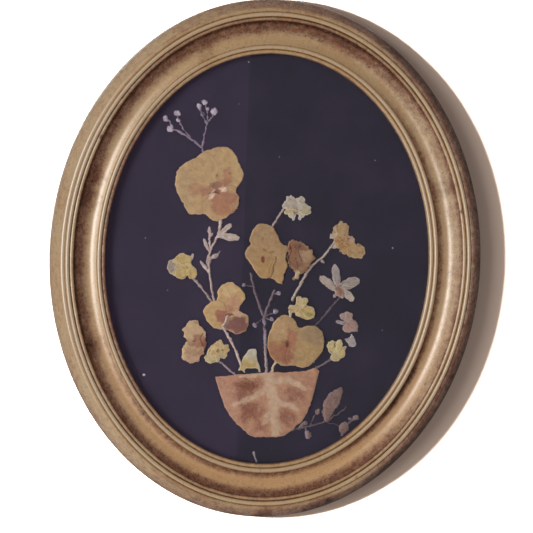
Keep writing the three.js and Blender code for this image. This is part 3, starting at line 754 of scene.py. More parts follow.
class Sheet:
    """A closed outline filled with fine triangles."""

    def __init__(self, loops, spacing, extra=()):
        rim = np.vstack(loops)
        lowest, highest = rim.min(0), rim.max(0)
        across = np.arange(lowest[0], highest[0] + spacing, spacing)
        along = np.arange(lowest[1], highest[1] + spacing, spacing * 0.87)
        grid_x, grid_z = np.meshgrid(across, along)
        grid_x[1::2] += spacing / 2
        grid = np.column_stack([grid_x.ravel(), grid_z.ravel()])
        grid += rng.uniform(-0.18, 0.18, grid.shape) * spacing
        if len(extra):
            gap = np.min([np.hypot(*(grid - p).T) for p in extra], axis=0)
            grid = np.vstack([grid[gap > 0.3 * spacing], extra])
        keep = inside(grid, loops) & (edge_distance(grid, loops) > 0.5 * spacing)
        points = np.vstack([rim, grid[keep]])
        edges, first = [], 0
        for loop in loops:
            count = len(loop)
            edges += [(first + i, first + (i + 1) % count) for i in range(count)]
            first += count
        made, _, faces, *_ = delaunay_2d_cdt([Vector(p) for p in points], edges, [], 0, 1e-5)
        self.points = np.array(made)
        faces = np.array([f for f in faces if len(f) == 3])
        faces = faces[inside(self.points[faces].mean(1), loops)]
        a, b, c = (self.points[faces[:, i]] for i in range(3))
        area = np.cross(b - a, c - a)
        faces[area < 0] = faces[area < 0][:, ::-1]
        self.faces = faces[np.abs(area) > 1e-9]
        self.x, self.z = self.points.T
        self.edge = edge_distance(self.points, loops)

    def half_width(self):
        """Half the local width of the outline round each point."""
        width = self.edge.copy()
        for point, reach in zip(self.points[self.edge > 0.1], self.edge[self.edge > 0.1]):
            near = np.hypot(self.x - point[0], self.z - point[1]) < reach + 0.06
            width[near] = np.maximum(width[near], reach)
        return np.maximum(width, 0.12)

    def shell(self, top, bottom, centre, masks):
        """A closed shell between two height fields, with its masks and its fan map.

        The fan map gives each corner its angle and its distance round a centre, for veins that spread.
        """
        count = len(self.points)
        bottom = np.broadcast_to(bottom, top.shape)
        vertices = np.vstack([world(self.x, self.z, top), world(self.x, self.z, bottom)])
        directed = {(f[i], f[(i + 1) % 3]) for f in self.faces for i in range(3)}
        walls = [(b, a, a + count, b + count) for a, b in directed if (b, a) not in directed]
        faces = [*map(tuple, self.faces), *map(tuple, self.faces[:, ::-1] + count), *sorted(walls)]
        fan = []
        for face in faces:
            away = self.points[np.array(face) % count] - centre
            angle = np.arctan2(away[:, 1], away[:, 0])
            angle += 2 * np.pi * np.round((angle[0] - angle) / (2 * np.pi))
            fan += list(zip(angle * FAN_RADIUS * MM, np.hypot(*away.T) * MM))
        return vertices, faces, {name: np.concatenate([v, v]) for name, v in masks.items()}, fan


def plant_piece(name, shells, material, node):
    """One piece made of one or more closed shells."""
    vertices, faces = [], []
    for points, rings, _, _ in shells:
        first = len(vertices)
        vertices += list(points)
        faces += [tuple(i + first for i in ring) for ring in rings]
    piece = new_piece(name, vertices, faces, [material], [node])
    for mask in shells[0][2]:
        values = np.concatenate([masks[mask] for _, _, masks, _ in shells])
        paint(piece, mask, values, "FLOAT_COLOR" if values.ndim == 2 else "FLOAT")
    paint_map(piece, "fan", [place for _, _, _, fan in shells for place in fan])


def tinted(points, body, patches, shift=0.0, softness=0.35):
    """The body colour of each point, blended with patches.

    Each patch has its place, its two radii, its turn in degrees, its colour and its strength.
    """
    colour = np.tile(np.array(linear(*body)), (len(points), 1))
    wander = cloud(points, 4.2, shift), cloud(points, 1.3, shift + 9)
    for (x, z), (wide, tall), turn, tint, strength in patches:
        c, s = math.cos(math.radians(turn)), math.sin(math.radians(turn))
        dx, dz = points[:, 0] - x, points[:, 1] - z
        reach = np.hypot((dx * c + dz * s) / wide, (dz * c - dx * s) / tall)
        reach += 0.4 * wander[0] + 0.3 * wander[1]
        share = strength * (1 - smooth(reach, 1 - softness, 1 + 0.3 * softness))[:, None]
        colour = colour * (1 - share) + np.array(linear(*tint)) * share
    return colour


class Petals:
    """Petals round a centre, parted at notches of the outline.

    Each notch has its place, the level of the petal that starts there, and how strong the painted shade and
    highlight at its seam are.
    """

    def __init__(self, centre, notches, bend):
        away = np.array([place for place, _, _ in notches]) - centre
        order = np.argsort(np.arctan2(away[:, 1], away[:, 0]))
        self.centre = np.array(centre)
        self.angles = np.arctan2(away[:, 1], away[:, 0])[order]
        self.radii = np.hypot(away[:, 0], away[:, 1])[order]
        self.levels = np.array([level for _, level, _ in notches], float)[order]
        self.seam_shading = np.array([depth for _, _, depth in notches], float)[order]
        rise = self.levels - np.roll(self.levels, 1)
        self.bends = np.where(rise > 0, -bend, bend)

    def seam(self, index, radius):
        """The angle of a petal's first edge at a distance from the centre."""
        share = np.clip(radius / self.radii[index], 0, 1)
        return self.angles[index] + self.bends[index] * np.sin(np.pi * share)

    def seam_points(self):
        """Two rows of points beside each seam, so that the mesh can step there."""
        rows = []
        for index in range(len(self.angles)):
            for radius in np.arange(0.8, self.radii[index] + 1.5, 0.3):
                angle = self.seam(index, radius)
                way = np.array([math.cos(angle), math.sin(angle)])
                side = np.array([-way[1], way[0]])
                rows += [self.centre + way * radius + side * d for d in (-0.07, 0.07)]
        return np.array(rows)

    def field(self, points):
        """For each point its petal's level, the painted highlight on the upper petal's edge at a seam, and
        the painted shade on the lower side of a seam.
        """
        dx, dz = (points - self.centre).T
        radius, angle = np.hypot(dx, dz), np.arctan2(dz, dx)
        past = np.array([(angle - self.seam(k, radius)) % (2 * np.pi) for k in range(len(self.angles))])
        petal = np.argmin(past, axis=0)
        level = self.levels[petal]
        lip = np.zeros(len(points))
        fold = np.zeros(len(points))
        for k in range(len(self.angles)):
            turned = (angle - self.seam(k, radius) + np.pi) % (2 * np.pi) - np.pi
            gap = np.where(np.abs(turned) < np.pi / 2, radius * np.abs(np.sin(turned)), 99)
            upper_side = np.sign(self.levels[k] - self.levels[k - 1]) * turned > 0
            lip = np.maximum(lip, np.where(upper_side, self.seam_shading[k] * (1 - smooth(gap, 0.1, 0.7)), 0))
            fold = np.maximum(fold, np.where(upper_side, 0, self.seam_shading[k] * (1 - smooth(gap, 0.1, 0.9))))
        return level, lip, fold, radius


def near_lines(points, lines, start, end):
    """1 on any of some broken lines and 0 away from them."""
    nearest = np.full(len(points), 1e9)
    for line in lines:
        line = np.array(line, float)
        for first, last in zip(line, line[1:]):
            nearest = np.minimum(nearest, line_distance(points, first, last)[0])
    return 1 - smooth(nearest, start, end)


def build_flower(node, centre, body, rim, vein, notches, patches, bites, creases=(), spacing=0.45,
                 crumple=0.05, bend=0.35, mottling=1.0):
    """A pressed flower in one sheet: petals in levels, gently crumpled, thin at the rim, with painted shade
    at its seams and creases and a painted highlight on the upper edge of each seam.
    """
    base, front = height_of(node)
    loops = [ragged(rounded(loop, 0.7 * spacing), bites, 2.4) for loop in outlines(node)]
    petals = Petals(centre, notches, bend)
    sheet = Sheet(loops, spacing, petals.seam_points())
    points = sheet.points
    shift = sum(map(ord, node)) % 50
    wrinkle = cloud(points, 3.4, shift) + 0.5 * cloud(points, 1.4, shift + 5)
    curl = cloud(points, 6, shift + 11)
    rise = smooth(sheet.edge, 0, 0.8)
    top = base - RIM_DROOP + 0.12 + (RIM_DROOP + 0.05) * rise + crumple * wrinkle * (0.4 + 0.6 * rise)
    top += 0.12 * np.clip(curl, 0, 1) * (1 - rise)
    rim_and_seam_highlight = RIM_STRENGTH * (1 - smooth(sheet.edge, 0.1, RIM_WIDTH * (1 + 0.7 * curl)))
    level, lip, fold, radius = petals.field(points)
    fade = smooth(radius, 0.5, 2.5)
    top += PETAL_STEP * level * fade
    # Painted highlight along the upper petal's edge at each seam, in the pale rim's colour.
    rim_and_seam_highlight = np.maximum(rim_and_seam_highlight, 0.25 * lip * fade)
    # Painted shade on the lower side of each seam and along the creases, which are also sunk a little.
    fold = 0.7 * fold * fade
    creased = near_lines(points + 0.5 * np.column_stack([wrinkle, curl]), creases, 0.1, 0.55)
    fold = np.maximum(fold, creased)
    top = np.minimum(top - 0.18 * creased, front + 0.12)
    bottom = np.minimum(base - RIM_DROOP + RIM_DROOP * rise, top - SHELL_LEAST)
    masks = {
        "tint": tinted(points, body, patches, shift),
        "rim": rim_and_seam_highlight,
        "fold": fold,
        "veined": smooth(sheet.edge, 0.3, 2.0),
    }
    material = petal_material(f"{node}_petal", linear(*rim), linear(*vein), mottling)
    plant_piece(f"pressed_{node}", [sheet.shell(top, bottom, centre, masks)], material, node)


def petal_shell(outline, foot, base, body, rim_strength, shift, bites, warp, spacing=0.26, patches=(),
                thick=0.1):
    """One small petal as a thin crumpled shell that rises from its rim."""
    outline = ragged(warped(rounded(outline, 0.8 * spacing), warp, 1.9), bites, 1.9)
    sheet = Sheet([outline], spacing)
    points = sheet.points
    rise = smooth(sheet.edge, 0, 0.9)
    wrinkle = cloud(points, 2.2, shift) + 0.6 * cloud(points, 0.9, shift + 5)
    top = base + thick + 0.12 * rise + 0.14 * wrinkle
    masks = {
        "tint": tinted(points, body, patches, shift),
        "rim": rim_strength * (1 - smooth(sheet.edge, 0.05, 0.6 + 0.5 * wrinkle)),
        # Painted shade in the low hollows of the crumple.
        "fold": 0.45 * smooth(-wrinkle, 0.15, 0.6),
        "veined": smooth(sheet.edge, 0.2, 1.0),
    }
    return sheet.shell(top, np.minimum(base + 0.1 * rise, top - 0.07), foot, masks)


def build_posy(node, petals, body, rim, vein, patches=(), rim_strength=0.7, bites=1.0):
    """A small pressed flower: a flattened whole, with petals on it.

    Each petal has its foot, its tip, its width, how blunt it is and its colour.
    """
    base = height_of(node)[0] - POSY_SINK
    shift = sum(map(ord, node)) % 50
    shells = []
    for loop in outlines(node):
        shells.append(petal_shell(loop, petals[0][0], base, body, rim_strength, shift, bites, 0.5,
                                  patches=patches))
    for order, (foot, tip, width, blunt, tint) in enumerate(petals):
        outline = blade(foot, tip, width, blunt)
        level = base + POSY_STEP * (order + 1)
        shells.append(petal_shell(outline, foot, level, tint, rim_strength, shift + order, bites,
                                  0.9 * bites, patches=patches))
    material = petal_material(f"{node}_petal", linear(*rim), linear(*vein))
    plant_piece(f"pressed_{node}", shells, material, node)


def build_stem(node, body, bud, rim, slot, base=STEM_FOOT, patches=(), arch=None, leaves=(), warp=0.4,
               swell=0.4):
    """Pressed stems and twigs with their buds and leaves: rounded, knobbly, and lying on the card."""
    loops = [rounded(loop, STEM_SPACING) for loop in outlines(node)]
    loops = [warped(ragged(loop, swell, 1.5, grow=0.13), warp, 2.6) for loop in loops]
    sheet = Sheet(loops, STEM_SPACING)
    points = sheet.points
    half = sheet.half_width()
    share = np.clip(sheet.edge / half, 0, 1)
    dome = np.sqrt(1 - (1 - share) ** 2)
    knobs = 1 + 0.25 * cloud(points, 2.2, 3) + 0.18 * cloud(points, 0.8, 8)
    is_bud = smooth(half, 0.72, 0.95)
    foot = base + (0 if arch is None else arch(points))
    thick = STEM_THICKNESS * (1 - is_bud) + BUD_THICKNESS * is_bud
    height = thick * dome * knobs * np.clip(half / 0.5, 0.5, 1.2)
    creases = 0.09 * is_bud * cloud(points, 0.7, 21)
    colour = tinted(points, body, patches)
    colour = colour * (1 - is_bud[:, None]) + np.array(linear(*bud)) * is_bud[:, None]
    masks = {
        "tint": colour,
        "rim": 0.35 * (1 - smooth(share, 0.1, 0.5)),
        # Random darker blotches, not tied to the stem's shape.
        "fold": 0.6 * smooth(-cloud(points, 1.1, 40), 0.2, 0.6),
        "veined": 0.6 * np.ones(len(points)),
    }
    shells = [sheet.shell(foot + 0.06 + height + creases, foot, points.mean(0), masks)]
    for order, (start, tip, width, blunt, tint) in enumerate(leaves):
        outline = blade(start, tip, width, blunt)
        level = base + 0.1 + 0.05 * order
        shells.append(petal_shell(outline, start, level, tint, 0.5, order, 0.3, 0.5, LEAF_SPACING,
                                  thick=0.2))
    material = petal_material(f"{node}_fibre", linear(*rim), linear(*[0.6 * c for c in body]))
    plant_piece(f"pressed_{node}", shells, material, node)


def ribs(points, lines):
    """How near each point is to any of some ribs: each a start, an end, and a half width at each."""
    nearest = np.zeros(len(points))
    for start, end, first, last in lines:
        away, share = line_distance(points, np.array(start), np.array(end))
        width = first + (last - first) * share
        nearest = np.maximum(nearest, 1 - smooth(away / width, 0.35, 1.3))
    return nearest


def build_leaf(node, body, rib, rim, lines, patches, spacing=0.45, bites=0.45):
    """A pressed leaf with soft raised pale ribs and a net of small veins."""
    base, front = height_of(node)
    loops = [ragged(rounded(loop, 0.7 * spacing), bites, 2.4) for loop in outlines(node)]
    sheet = Sheet(loops, spacing)
    points = sheet.points
    rise = smooth(sheet.edge, 0, 1.3)
    wander = points + np.column_stack([cloud(points, 5, 2), cloud(points, 5, 7)]) * 1.2
    wander += np.column_stack([cloud(points, 1.6, 12), cloud(points, 1.6, 17)]) * 0.5
    ribbed = ribs(wander, lines)
    wrinkle = cloud(points, 4, 13) + 0.6 * cloud(points, 1.6, 19)
    top = base - 0.25 + 0.3 * rise + 0.1 * ribbed + 0.06 * wrinkle * rise
    top = np.minimum(top, front + 0.15)
    colour = tinted(points, body, patches, 4, softness=0.7)
    share = 0.8 * ribbed[:, None] * (0.85 + 0.25 * cloud(points, 3, 33))[:, None]
    colour = colour * (1 - share) + np.array(linear(*rib)) * share
    masks = {
        "tint": colour,
        "rim": 0.45 * (1 - smooth(sheet.edge, 0.1, 0.8)),
        "fold": np.zeros(len(points)),
        "veined": 0.6 * smooth(sheet.edge, 0.3, 2.0),
    }
    material = petal_material(f"{node}_leaf", linear(*rim), linear(*rib))
    bottom = np.minimum(base - 0.25 + 0.2 * rise, top - SHELL_LEAST)
    shell = sheet.shell(top, bottom, lines[0][0], masks)
    plant_piece(f"pressed_{node}", [shell], material, node)


def build_pansies():
    """The four pansies."""
    build_flower(
        "pansy_large", (-30.6, 39.4), (168, 140, 102), (196, 170, 130), (134, 104, 72),
        bites=0.6,
        notches=[((-19.6, 40.6), 0, 0.5), ((-39.8, 62), 1, 0.12), ((-38.5, 25.1), 2, 0.45)],
        creases=[((-35.6, 37.4), (-31.8, 38.2), (-29.6, 37.4))],
        patches=[
            ((-24, 54), (8, 11), 20, (172, 148, 104), 0.7),
            ((-49, 38), (6, 14), 0, (158, 138, 104), 0.6),
            ((-27.4, 33.2), (9.4, 8.2), 5, (149, 103, 80), 0.88),
            ((-27.6, 28), (5.4, 5), 0, (154, 108, 80), 0.8),
            ((-42.2, 39.6), (6.6, 3.8), -4, (154, 114, 84), 0.75),
            ((-37, 38.4), (4.4, 3.2), 10, (146, 102, 80), 0.8),
            ((-25.4, 48.6), (3, 5.6), -18, (152, 108, 82), 0.8),
            ((-27, 44.4), (3.4, 2.6), 0, (146, 102, 80), 0.8),
            ((-31.4, 42.2), (4, 2.2), 10, (126, 86, 76), 0.85),
            ((-34.4, 36.2), (1.5, 3.6), -28, (206, 184, 162), 0.97),
            ((-27.5, 39.8), (2.4, 1.6), 0, (206, 182, 160), 0.97),
            ((-31, 38.6), (2.4, 0.9), 15, (112, 70, 60), 0.85),
            ((-24.2, 49.4), (0.7, 0.9), 0, (116, 70, 52), 0.8),
            ((-31.6, 47.8), (0.7, 0.8), 0, (112, 92, 58), 0.8),
        ])
    build_flower(
        "pansy_left", (-22.6, -33.8), (172, 144, 100), (200, 176, 138), (140, 108, 74),
        bites=0.5,
        notches=[((-15.7, -29.9), 0, 0.4), ((-28.9, -25.2), 1, 0.45), ((-23.2, -41), 2, 1)],
        creases=[((-23.4, -33.6), (-21.4, -33), (-18.8, -33.4))],
        patches=[
            ((-18.6, -26.4), (5.2, 5.6), 30, (170, 130, 102), 0.9),
            ((-21.4, -30.4), (3.4, 3.6), 0, (152, 108, 84), 0.7),
            ((-22.4, -19.4), (4.6, 3.6), 0, (186, 160, 118), 0.8),
            ((-26.2, -34.6), (4.2, 4.4), 0, (140, 88, 70), 0.92),
            ((-15.9, -38.9), (7.8, 5.9), 12, (110, 70, 66), 0.97),
            ((-15.2, -32.3), (5, 2), 8, (176, 148, 124), 0.9),
            ((-10.4, -35.6), (1.3, 3), -20, (170, 136, 118), 0.8),
            ((-13.2, -43.2), (3.6, 0.8), 20, (158, 110, 92), 0.7),
            ((-20.6, -33.3), (1.7, 0.7), 25, (120, 60, 46), 0.9),
        ])
    build_flower(
        "pansy_centre", (4.1, 1.2), (154, 126, 92), (192, 166, 130), (124, 96, 66),
        bites=0.55, bend=0.1,
        notches=[((8.4, 9.1), 0, 0.3), ((-10.2, 8.6), 1, 0.2), ((1.7, -11.2), 2, 0.8)],
        creases=[((4.6, 1.6), (4.9, -1.6), (4, -4.4), (3.6, -7.6), (2, -10.8))],
        patches=[
            ((-2, 15), (8, 7), 0, (152, 126, 96), 0.7),
            ((-3, -6), (7, 7), 0, (160, 129, 86), 0.8),
            ((8, -8), (4, 8), 0, (164, 132, 92), 0.8),
            ((5.6, 13), (3.4, 5), 30, (146, 114, 84), 0.7),
            ((-2.8, -0.2), (1.2, 2.1), 8, (104, 44, 30), 0.97),
            ((-2.2, 5.2), (1.3, 0.9), -30, (128, 92, 62), 0.8),
            ((2.4, 4.2), (2, 0.9), 15, (124, 88, 60), 0.8),
            ((-3.4, 11.6), (1.4, 0.9), 60, (124, 98, 66), 0.8),
            ((1.4, -0.6), (1.6, 2.4), 0, (150, 112, 74), 0.7),
        ])
    build_flower(
        "pansy_heart", (13.7, -50), (156, 128, 92), (194, 166, 130), (124, 96, 68),
        bites=0.5,
        notches=[((20.2, -40.3), 0, 0.5), ((2.3, -49.2), 1, 0.15), ((17, -62.6), 2, 0.6)],
        creases=[((13.9, -48.4), (13.6, -51))],
        patches=[
            ((9, -41), (7.4, 6.4), 30, (166, 136, 104), 0.8),
            ((10.4, -42.6), (2.2, 1.4), 0, (178, 150, 118), 0.7),
            ((28.6, -44.5), (8.4, 7.4), -20, (140, 119, 93), 0.9),
            ((26.2, -54), (7, 6.8), 0, (160, 134, 94), 0.8),
            ((7.6, -55.4), (6.6, 6), 15, (142, 96, 74), 0.9),
            ((13.4, -57), (4, 6), 0, (134, 86, 68), 0.92),
            ((16.2, -46.6), (3.2, 7.4), 10, (146, 98, 76), 0.88),
            ((12.6, -50.4), (3.6, 3.4), 0, (140, 92, 70), 0.85),
            ((5.8, -50), (3.6, 2.4), 0, (152, 104, 76), 0.7),
            ((13.6, -49.6), (1.2, 2.4), 10, (98, 62, 44), 0.85),
        ])


def build_crumpled_flowers():
    """The folded tan flower and the brown one."""
    build_flower(
        "flower_folded", (-41.5, -50), (174, 148, 116), (196, 170, 138), (128, 98, 72),
        notches=[((-35, -49.5), 1, 0.6), ((-46.6, -49.5), 2, 0.6)], crumple=0.16, bites=1.2, mottling=1.8,
        creases=[((-46.4, -49.2), (-43.4, -50.2), (-40.6, -48.8)),
                  ((-36.6, -44.6), (-38, -47.6), (-36.4, -52))],
        patches=[
            ((-38.8, -49), (4.6, 4.6), 0, (140, 98, 74), 0.9),
            ((-35.3, -50.8), (1.6, 4.2), 0, (126, 70, 52), 0.9),
            ((-42.4, -41), (3, 2.8), 0, (176, 148, 114), 0.7),
            ((-40.6, -38), (1.6, 1.2), 0, (138, 108, 74), 0.7),
            ((-44, -56), (4, 4), 0, (150, 120, 94), 0.7),
            ((-41, -60.6), (4, 1.6), 0, (160, 128, 106), 0.7),
            ((-43.4, -51.4), (2.2, 1.2), -20, (122, 90, 60), 0.8),
            ((-37.4, -56), (1.6, 2.4), 0, (138, 96, 74), 0.8),
        ])
    build_flower(
        "flower_brown", (16.5, 1.6), (130, 95, 72), (162, 134, 108), (96, 68, 52),
        notches=[((15.7, -8), 1, 0.5), ((13, 10), 2, 0.5)], crumple=0.18, bites=1.6, mottling=2.2,
        creases=[((12.8, 9), (13.8, 5), (12.4, 1), (13.6, -4)), ((19, 9), (18, 4.6), (20.4, 0))],
        patches=[
            ((22, 3.4), (4.6, 6), 0, (154, 128, 102), 0.9),
            ((14.7, 4.4), (4, 4), 0, (128, 90, 68), 0.8),
            ((18, -2), (4, 3.4), 20, (120, 84, 66), 0.8),
            ((18.6, 8), (3, 2.4), 0, (112, 76, 58), 0.85),
            ((22.6, 6.6), (1.6, 1.2), 0, (124, 84, 62), 0.8),
            ((12, 1.1), (1.1, 2.4), -15, (58, 30, 24), 0.95),
            ((12.8, 6.8), (1, 1.1), 0, (88, 48, 34), 0.9),
            ((16.6, 1.2), (1.2, 1), 30, (94, 60, 46), 0.8),
            ((20, -4.6), (1.6, 1.2), 0, (142, 112, 88), 0.8),
            ((17.4, -8.6), (1.6, 3), -15, (178, 160, 134), 0.8),
        ])


def build_small_flowers():
    """The cream, orange, yellow, pink and white flowers and the grey bud."""
    cream, butter, straw = (170, 158, 134), (172, 150, 104), (176, 156, 112)
    lilac = (168, 158, 166)
    build_posy(
        "flower_cream_top", [
            ((17.7, 27.3), (18.9, 24), 2, 0.3, lilac),
            ((14.4, 28.4), (14.4, 22.8), 2.6, 0.2, (172, 160, 146)),
            ((17.6, 28.6), (24.6, 30.2), 6.6, 1, cream),
            ((16.6, 29.8), (9.2, 28.6), 5, 0.7, (180, 158, 112)),
            ((17.6, 30), (19, 37.4), 5, 0.9, (168, 160, 148)),
            ((17.2, 29.6), (9.8, 35.6), 8, 1, (164, 154, 144)),
        ],
        cream, (198, 190, 184), (150, 134, 104),
        patches=[((16, 29.6), (2.6, 1.6), 20, (154, 128, 82), 0.75),
                 ((15.6, 27.4), (1.1, 1.4), 0, (96, 70, 40), 0.7)])
    build_flower(
        "flower_cream_rim", (-8.5, -62), (174, 156, 112), (196, 188, 172), (152, 136, 100),
        spacing=0.3, bites=0.26, crumple=0.08,
        notches=[((-11.6, -58), 0, 0.3), ((-4.6, -60), 1, 0.4)],
        patches=[
            ((-6.6, -56.2), (4.6, 4.6), 0, (170, 166, 152), 0.9),
            ((-8.4, -62.2), (5, 1.6), 0, (168, 144, 92), 0.8),
            ((-3, -62), (1.4, 4), 10, (178, 166, 150), 0.7),
            ((-13.4, -64.6), (2, 1.6), 0, (172, 152, 104), 0.7),
        ])
    build_posy(
        "flower_orange", [
            ((40.8, 10.4), (39.2, 7.2), 2.2, 0.4, lilac),
            ((42.4, 15), (36.8, 15), 4, 1, (172, 160, 146)),
            ((44.6, 11.4), (52.2, 13.4), 5, 0.9, (170, 140, 116)),
            ((45.4, 10.6), (57.4, 4.8), 8, 1, (160, 132, 96)),
            ((43.8, 10.2), (43.8, 23.2), 8.4, 0.9, (156, 130, 96)),
            ((40.2, 10.8), (51, 3.6), 5.4, 0.5, (160, 130, 92)),
        ],
        (158, 128, 96), (190, 168, 142), (136, 104, 70), rim_strength=0.5,
        patches=[((44.6, 10.8), (4.6, 3), -20, (146, 106, 58), 0.9),
                 ((44.4, 10.2), (1.2, 0.9), 0, (124, 88, 48), 0.8),
                 ((47.6, 13.6), (1.2, 1), 0, (116, 66, 40), 0.8)])
    build_posy(
        "flower_yellow_left", [
            ((-45.5, -3.4), (-43.9, 1.9), 1.9, 0.4, lilac),
            ((-52.4, -6.1), (-58.8, -6.4), 7.6, 0.8, (140, 132, 126)),
            ((-47.6, -5.4), (-47.2, 0.7), 5.6, 0.8, (178, 160, 104)),
            ((-48.8, -5.8), (-52.4, 1.1), 7, 0.9, (172, 150, 98)),
            ((-48.6, -5.6), (-51.6, -13), 7.4, 0.9, (170, 148, 96)),
            ((-48.2, -5.2), (-42.3, -12.2), 6.2, 0.9, (176, 154, 100)),
        ],
        straw, (186, 170, 142), (144, 124, 80), rim_strength=0.55, bites=0.5,
        patches=[((-48.4, -6.3), (2.2, 1.2), 0, (150, 124, 78), 0.8),
                 ((-54.2, -6.4), (1, 0.9), 0, (166, 148, 116), 0.8)])
    build_posy(
        "flower_yellow_low_left", [
            ((-27.2, -56.3), (-22.8, -59.2), 1.8, 0.5, cream),
            ((-27.4, -54), (-20.4, -52.4), 4.4, 0.9, (178, 152, 106)),
            ((-26.6, -60.4), (-35.6, -58.6), 5.6, 0.35, (176, 160, 122)),
            ((-27.6, -61.6), (-26.2, -48), 6.4, 0.35, straw),
            ((-27.4, -57), (-31.8, -55.6), 5, 0.6, (174, 148, 106)),
        ],
        straw, (188, 174, 138), (144, 122, 80), bites=0.4,
        patches=[((-24.6, -54.2), (0.9, 0.7), 0, (118, 76, 46), 0.85),
                 ((-27.4, -54.6), (0.9, 1.4), -30, (110, 78, 40), 0.8),
                 ((-28.4, -51), (1.4, 1.8), 30, (172, 130, 92), 0.6)])
    build_posy(
        "flower_yellow_centre", [
            ((15.6, -29), (14.2, -33.8), 1.5, 0.5, lilac),
            ((20.4, -29), (18.8, -33.3), 3, 0.7, (180, 158, 120)),
            ((20.6, -28.4), (13.2, -28.3), 3.8, 0.9, (166, 148, 108)),
            ((20.8, -28.6), (19.3, -20.8), 3.7, 1, (176, 158, 124)),
            ((21.4, -28.4), (23.8, -21.9), 3.7, 0.9, (174, 158, 118)),
            ((20.2, -28.8), (29, -31.8), 7, 1, butter),
        ],
        butter, (190, 176, 146), (144, 124, 78), bites=0.4,
        patches=[((20.8, -28.8), (2, 1.6), 0, (156, 132, 84), 0.8),
                 ((25.8, -31.9), (1.8, 1.6), 0, (124, 126, 66), 0.8),
                 ((23.8, -27.4), (1.5, 0.6), 30, (128, 92, 48), 0.7)])
    build_posy(
        "flower_yellow_right", [
            ((46.2, -52.2), (48.6, -50.2), 1.9, 0.6, (168, 140, 132)),
            ((42.8, -53), (48.2, -55), 5.4, 0.9, straw),
            ((42.4, -52), (43, -59.2), 6.6, 0.7, (176, 162, 124)),
            ((42.6, -54), (38.8, -47.2), 4.8, 0.9, (178, 164, 118)),
            ((43.2, -54), (44.9, -46.9), 4.4, 0.9, (180, 166, 122)),
        ],
        straw, (194, 182, 150), (146, 128, 84), bites=0.45,
        patches=[((41.9, -49.4), (0.7, 2), -6, (108, 86, 48), 0.85),
                 ((39.9, -54), (0.8, 1.2), 30, (122, 100, 60), 0.7)])
    build_posy(
        "flower_pink", [
            ((47.6, -36.6), (41.8, -35.4), 2.4, 0.7, (140, 128, 140)),
            ((49.9, -35.4), (44.4, -31.2), 3.6, 0.8, (146, 128, 126)),
            ((49.6, -36.2), (49.6, -29.6), 4.8, 0.9, (154, 130, 120)),
            ((49.8, -35.6), (48.8, -41.8), 6, 0.8, (156, 126, 118)),
            ((49.8, -35.4), (54.6, -39.8), 5, 0.8, (150, 124, 116)),
        ],
        (142, 116, 108), (160, 144, 142), (110, 88, 84), bites=0.4,
        patches=[((50.2, -36.4), (1.4, 1.2), 0, (132, 100, 90), 0.7)])
    build_posy(
        "bud_grey", [
            ((49.8, -45.4), (47.6, -46.2), 1.3, 0.3, (136, 124, 130)),
            ((51.8, -42.6), (52.2, -50.6), 4.6, 0.9, (154, 146, 146)),
        ],
        (152, 144, 144), (176, 168, 170), (120, 112, 114), bites=0.4)
    tan = (142, 112, 98)
    build_posy(
        "flower_white_star", [
            ((41.9, -18.6), (39.8, -21.4), 1.9, 0.2, (150, 132, 124)),
            ((45, -19.6), (45.6, -22), 1.6, 0.2, (150, 130, 118)),
            ((45.4, -15.6), (52.2, -23.4), 4, 0.8, (164, 150, 140)),
            ((42.6, -13.6), (55.4, -11), 5.8, 0.95, (144, 134, 128)),
            ((42.2, -15.6), (40, -1.6), 4.6, 0.75, (152, 142, 140)),
            ((43.2, -18.8), (31.6, -9), 4.6, 0.95, (158, 144, 136)),
            ((41.2, -13.6), (45, -21), 5.4, 0.5, tan),
        ],
        (150, 136, 130), (176, 164, 162), (116, 104, 98), rim_strength=0.55, bites=0.35,
        patches=[((41.4, -16), (1.2, 1.2), 0, (128, 88, 78), 0.7),
                 ((44, -18), (1.1, 1.7), 10, (112, 80, 66), 0.75)])


def build_pot():
    """The pot that was cut from a leaf, with its ribs and dark cells."""
    build_leaf(
        "pot_leaf", (160, 120, 97), (180, 158, 136), (178, 140, 116),
        [((2, -64), (6.4, -82), 3.8, 3.2), ((6.4, -82), (8.6, -103), 3.2, 2.6),
         ((5, -74.5), (-4.7, -81.1), 2.2, 2), ((-4.7, -81.1), (-17, -86), 2, 1.4),
         ((4.4, -72), (15.5, -70.4), 2.4, 2), ((15.5, -70.4), (24.5, -75.5), 2, 1.2),
         ((6.4, -82.4), (13.5, -85), 2.2, 2), ((13.5, -85), (22, -88), 2, 1.4),
         ((6, -88), (1.4, -96.4), 2, 1.4), ((2, -67.4), (-14, -69.4), 1.8, 0.9),
         ((8, -96), (12, -101), 1.6, 1)],
        [
            ((-9.4, -75.6), (9.4, 5.6), 12, (108, 63, 45), 0.95),
            ((-13, -80.6), (5, 5), 30, (126, 82, 67), 0.9),
            ((-6.6, -90), (8.6, 7), 20, (122, 76, 61), 0.95),
            ((19.4, -79.4), (8, 5.4), -10, (130, 88, 73), 0.92),
            ((15, -92.6), (6, 6.6), 15, (126, 82, 67), 0.92),
            ((-0.6, -99), (5.6, 3.6), 0, (138, 90, 72), 0.85),
            ((27, -71.6), (4.4, 6), 10, (152, 108, 92), 0.7),
            ((-19, -71.8), (5, 1.8), 5, (156, 110, 88), 0.6),
            ((-19, -84), (4, 9), 30, (172, 132, 106), 0.5),
            ((15.4, -76.4), (1.2, 1.4), 0, (120, 74, 58), 0.6),
        ])


def pansy_stem_arch(points):
    """How far this stem, which lies over two flowers, comes down to the card between them."""
    below = -points[:, 1]
    between = smooth(below, 44, 50) * (1 - smooth(below, 54, 60))
    return -1.2 * between


